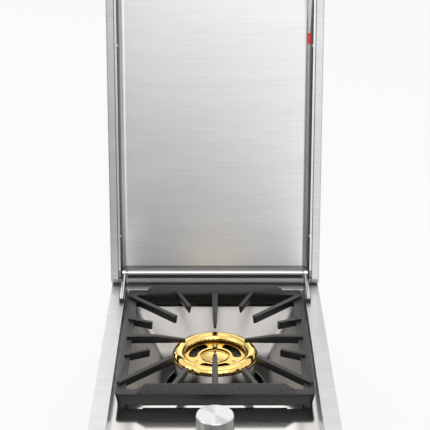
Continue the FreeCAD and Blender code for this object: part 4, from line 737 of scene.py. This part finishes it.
class SideBurnerLid(bpy.types.Operator):
    """Lid with its liner, hinge, handle and lighting rod"""

    bl_idname = "side_burner.lid"
    bl_label = "Lid"

    def execute(self, context):
        colours = context.scene.side_burner_finishes
        sizes = context.scene.side_burner_sizes
        # Brushed as the trim is, with a painted shadow line where the sheet folds in beside the liner, and
        # painted shade on the edge that stands close over the trim.
        shell = brushed(
            "brushed_stainless_steel_lid", colours.lid_steel, sizes, roughness=0.34, shade=0.2)
        painted_shade_in_gaps(shell, reach=14 * MM, dull=0.35, unshaded=0.6, dark=linear("4C4C4C"))
        painted_shade_sideways(
            shell, start=LID_OPENING - 1.1 * MM, full=LID_OPENING - 0.1 * MM, hold=LID_OPENING + 1.1 * MM,
            end=LID_OPENING + 1.5 * MM, dark=linear("6A6A6A"), front_only=True)
        give("lid_shell", shell)
        # Brushed more lightly: a calm pale panel, with painted shade on its foot and on its side bends.
        liner = brushed(
            "brushed_stainless_steel_liner", colours.liner_steel, sizes, roughness=0.3, shade=0.14)
        painted_shade_below(liner, low=LINER_SHADE_TOP, high=LINER_SHADE_TOP + 1 * MM, dark=linear("8C8C8C"))
        painted_shade_by_facing(liner, "X", full=1.0, none=0.3, dark=linear("6A6A6A"))
        give("lid_liner", liner)
        # Polished bar and tube: clear reflections in narrow streaks.
        polished = grained(
            "polished_stainless_steel", colours.polished_steel, grain=20 * MM, roughness=0.14, shade=0.02,
            spread=0.03)
        for name in ("hinge_arm_left", "hinge_arm_right", "handle_tube", "handle_posts"):
            give(name, polished)
        # Centreless ground rod: one bright line along it, and painted shade where it runs into the arms.
        rod = grained(
            "centreless_ground_steel", colours.polished_steel, grain=20 * MM, roughness=0.2, shade=0.02,
            spread=0.01)
        painted_shade_sideways(rod, start=ARM_INSIDE - 1 * MM, full=ARM_INSIDE + 1 * MM, dark=linear("4A4A4A"))
        give("hinge_rod", rod)
        # Moulded with a fine grain: black with broad dull lights.
        plastic = grained(
            "moulded_black_plastic", colours.black_plastic, grain=0.6 * MM, roughness=0.45, metallic=0.0,
            shade=0.1, spread=0.05, height=0.02 * MM)
        for name in ("arm_foot_left", "arm_foot_right", "handle_caps", "rod_clip"):
            give(name, plastic)
        # Moulded rubber: almost without gloss.
        rubber = grained(
            "moulded_rubber", colours.rubber, grain=0.8 * MM, roughness=0.65, metallic=0.0, shade=0.1,
            spread=0.06, height=0.02 * MM)
        give("lid_bumpers", rubber)
        # Plated and lacquered: pale and satin, with half of its light plain white.
        plated = grained(
            "satin_plated_steel", colours.rod_steel, grain=4 * MM, roughness=0.34, metallic=0.5, shade=0.05,
            spread=0.05)
        give("lighting_rod", plated)
        # Dipped vinyl: a soft even red.
        vinyl = grained(
            "red_vinyl", colours.red_cap, grain=1 * MM, roughness=0.4, metallic=0.0, shade=0.06, spread=0.06,
            height=0.01 * MM)
        give("rod_tip", vinyl)
        return {"FINISHED"}


class SideBurnerPanel(bpy.types.Panel):
    """Buttons and settings of the side burner in the 3D view's sidebar"""

    bl_idname = "VIEW3D_PT_side_burner"
    bl_label = "Side Burner"
    bl_space_type = "VIEW_3D"
    bl_region_type = "UI"
    bl_category = "Side Burner"

    def draw(self, context):
        for operator in OPERATORS:
            self.layout.operator(operator.bl_idname)
        for group in (context.scene.side_burner_sizes, context.scene.side_burner_finishes):
            box = self.layout.box()
            for name in group.bl_rna.properties.keys():
                if name not in ("rna_type", "name"):
                    box.prop(group, name)


OPERATORS = (
    SideBurnerTrim, SideBurnerBurner, SideBurnerGrate, SideBurnerControl, SideBurnerBox, SideBurnerLid,
    SideBurnerStage)
CLASSES = (SideBurnerSizes, SideBurnerFinishes) + OPERATORS + (SideBurnerPanel,)


def register():
    for cls in CLASSES:
        bpy.utils.register_class(cls)
    bpy.types.Scene.side_burner_sizes = bpy.props.PointerProperty(type=SideBurnerSizes)
    bpy.types.Scene.side_burner_finishes = bpy.props.PointerProperty(type=SideBurnerFinishes)


def unregister():
    del bpy.types.Scene.side_burner_finishes
    del bpy.types.Scene.side_burner_sizes
    for cls in reversed(CLASSES):
        bpy.utils.unregister_class(cls)


def main():
    """Makes every piece in order."""
    register()
    for operator in OPERATORS:
        group, name = operator.bl_idname.split(".")
        getattr(getattr(bpy.ops, group), name)()
    bpy.context.view_layer.update()


if __name__ == "__main__":
    main()
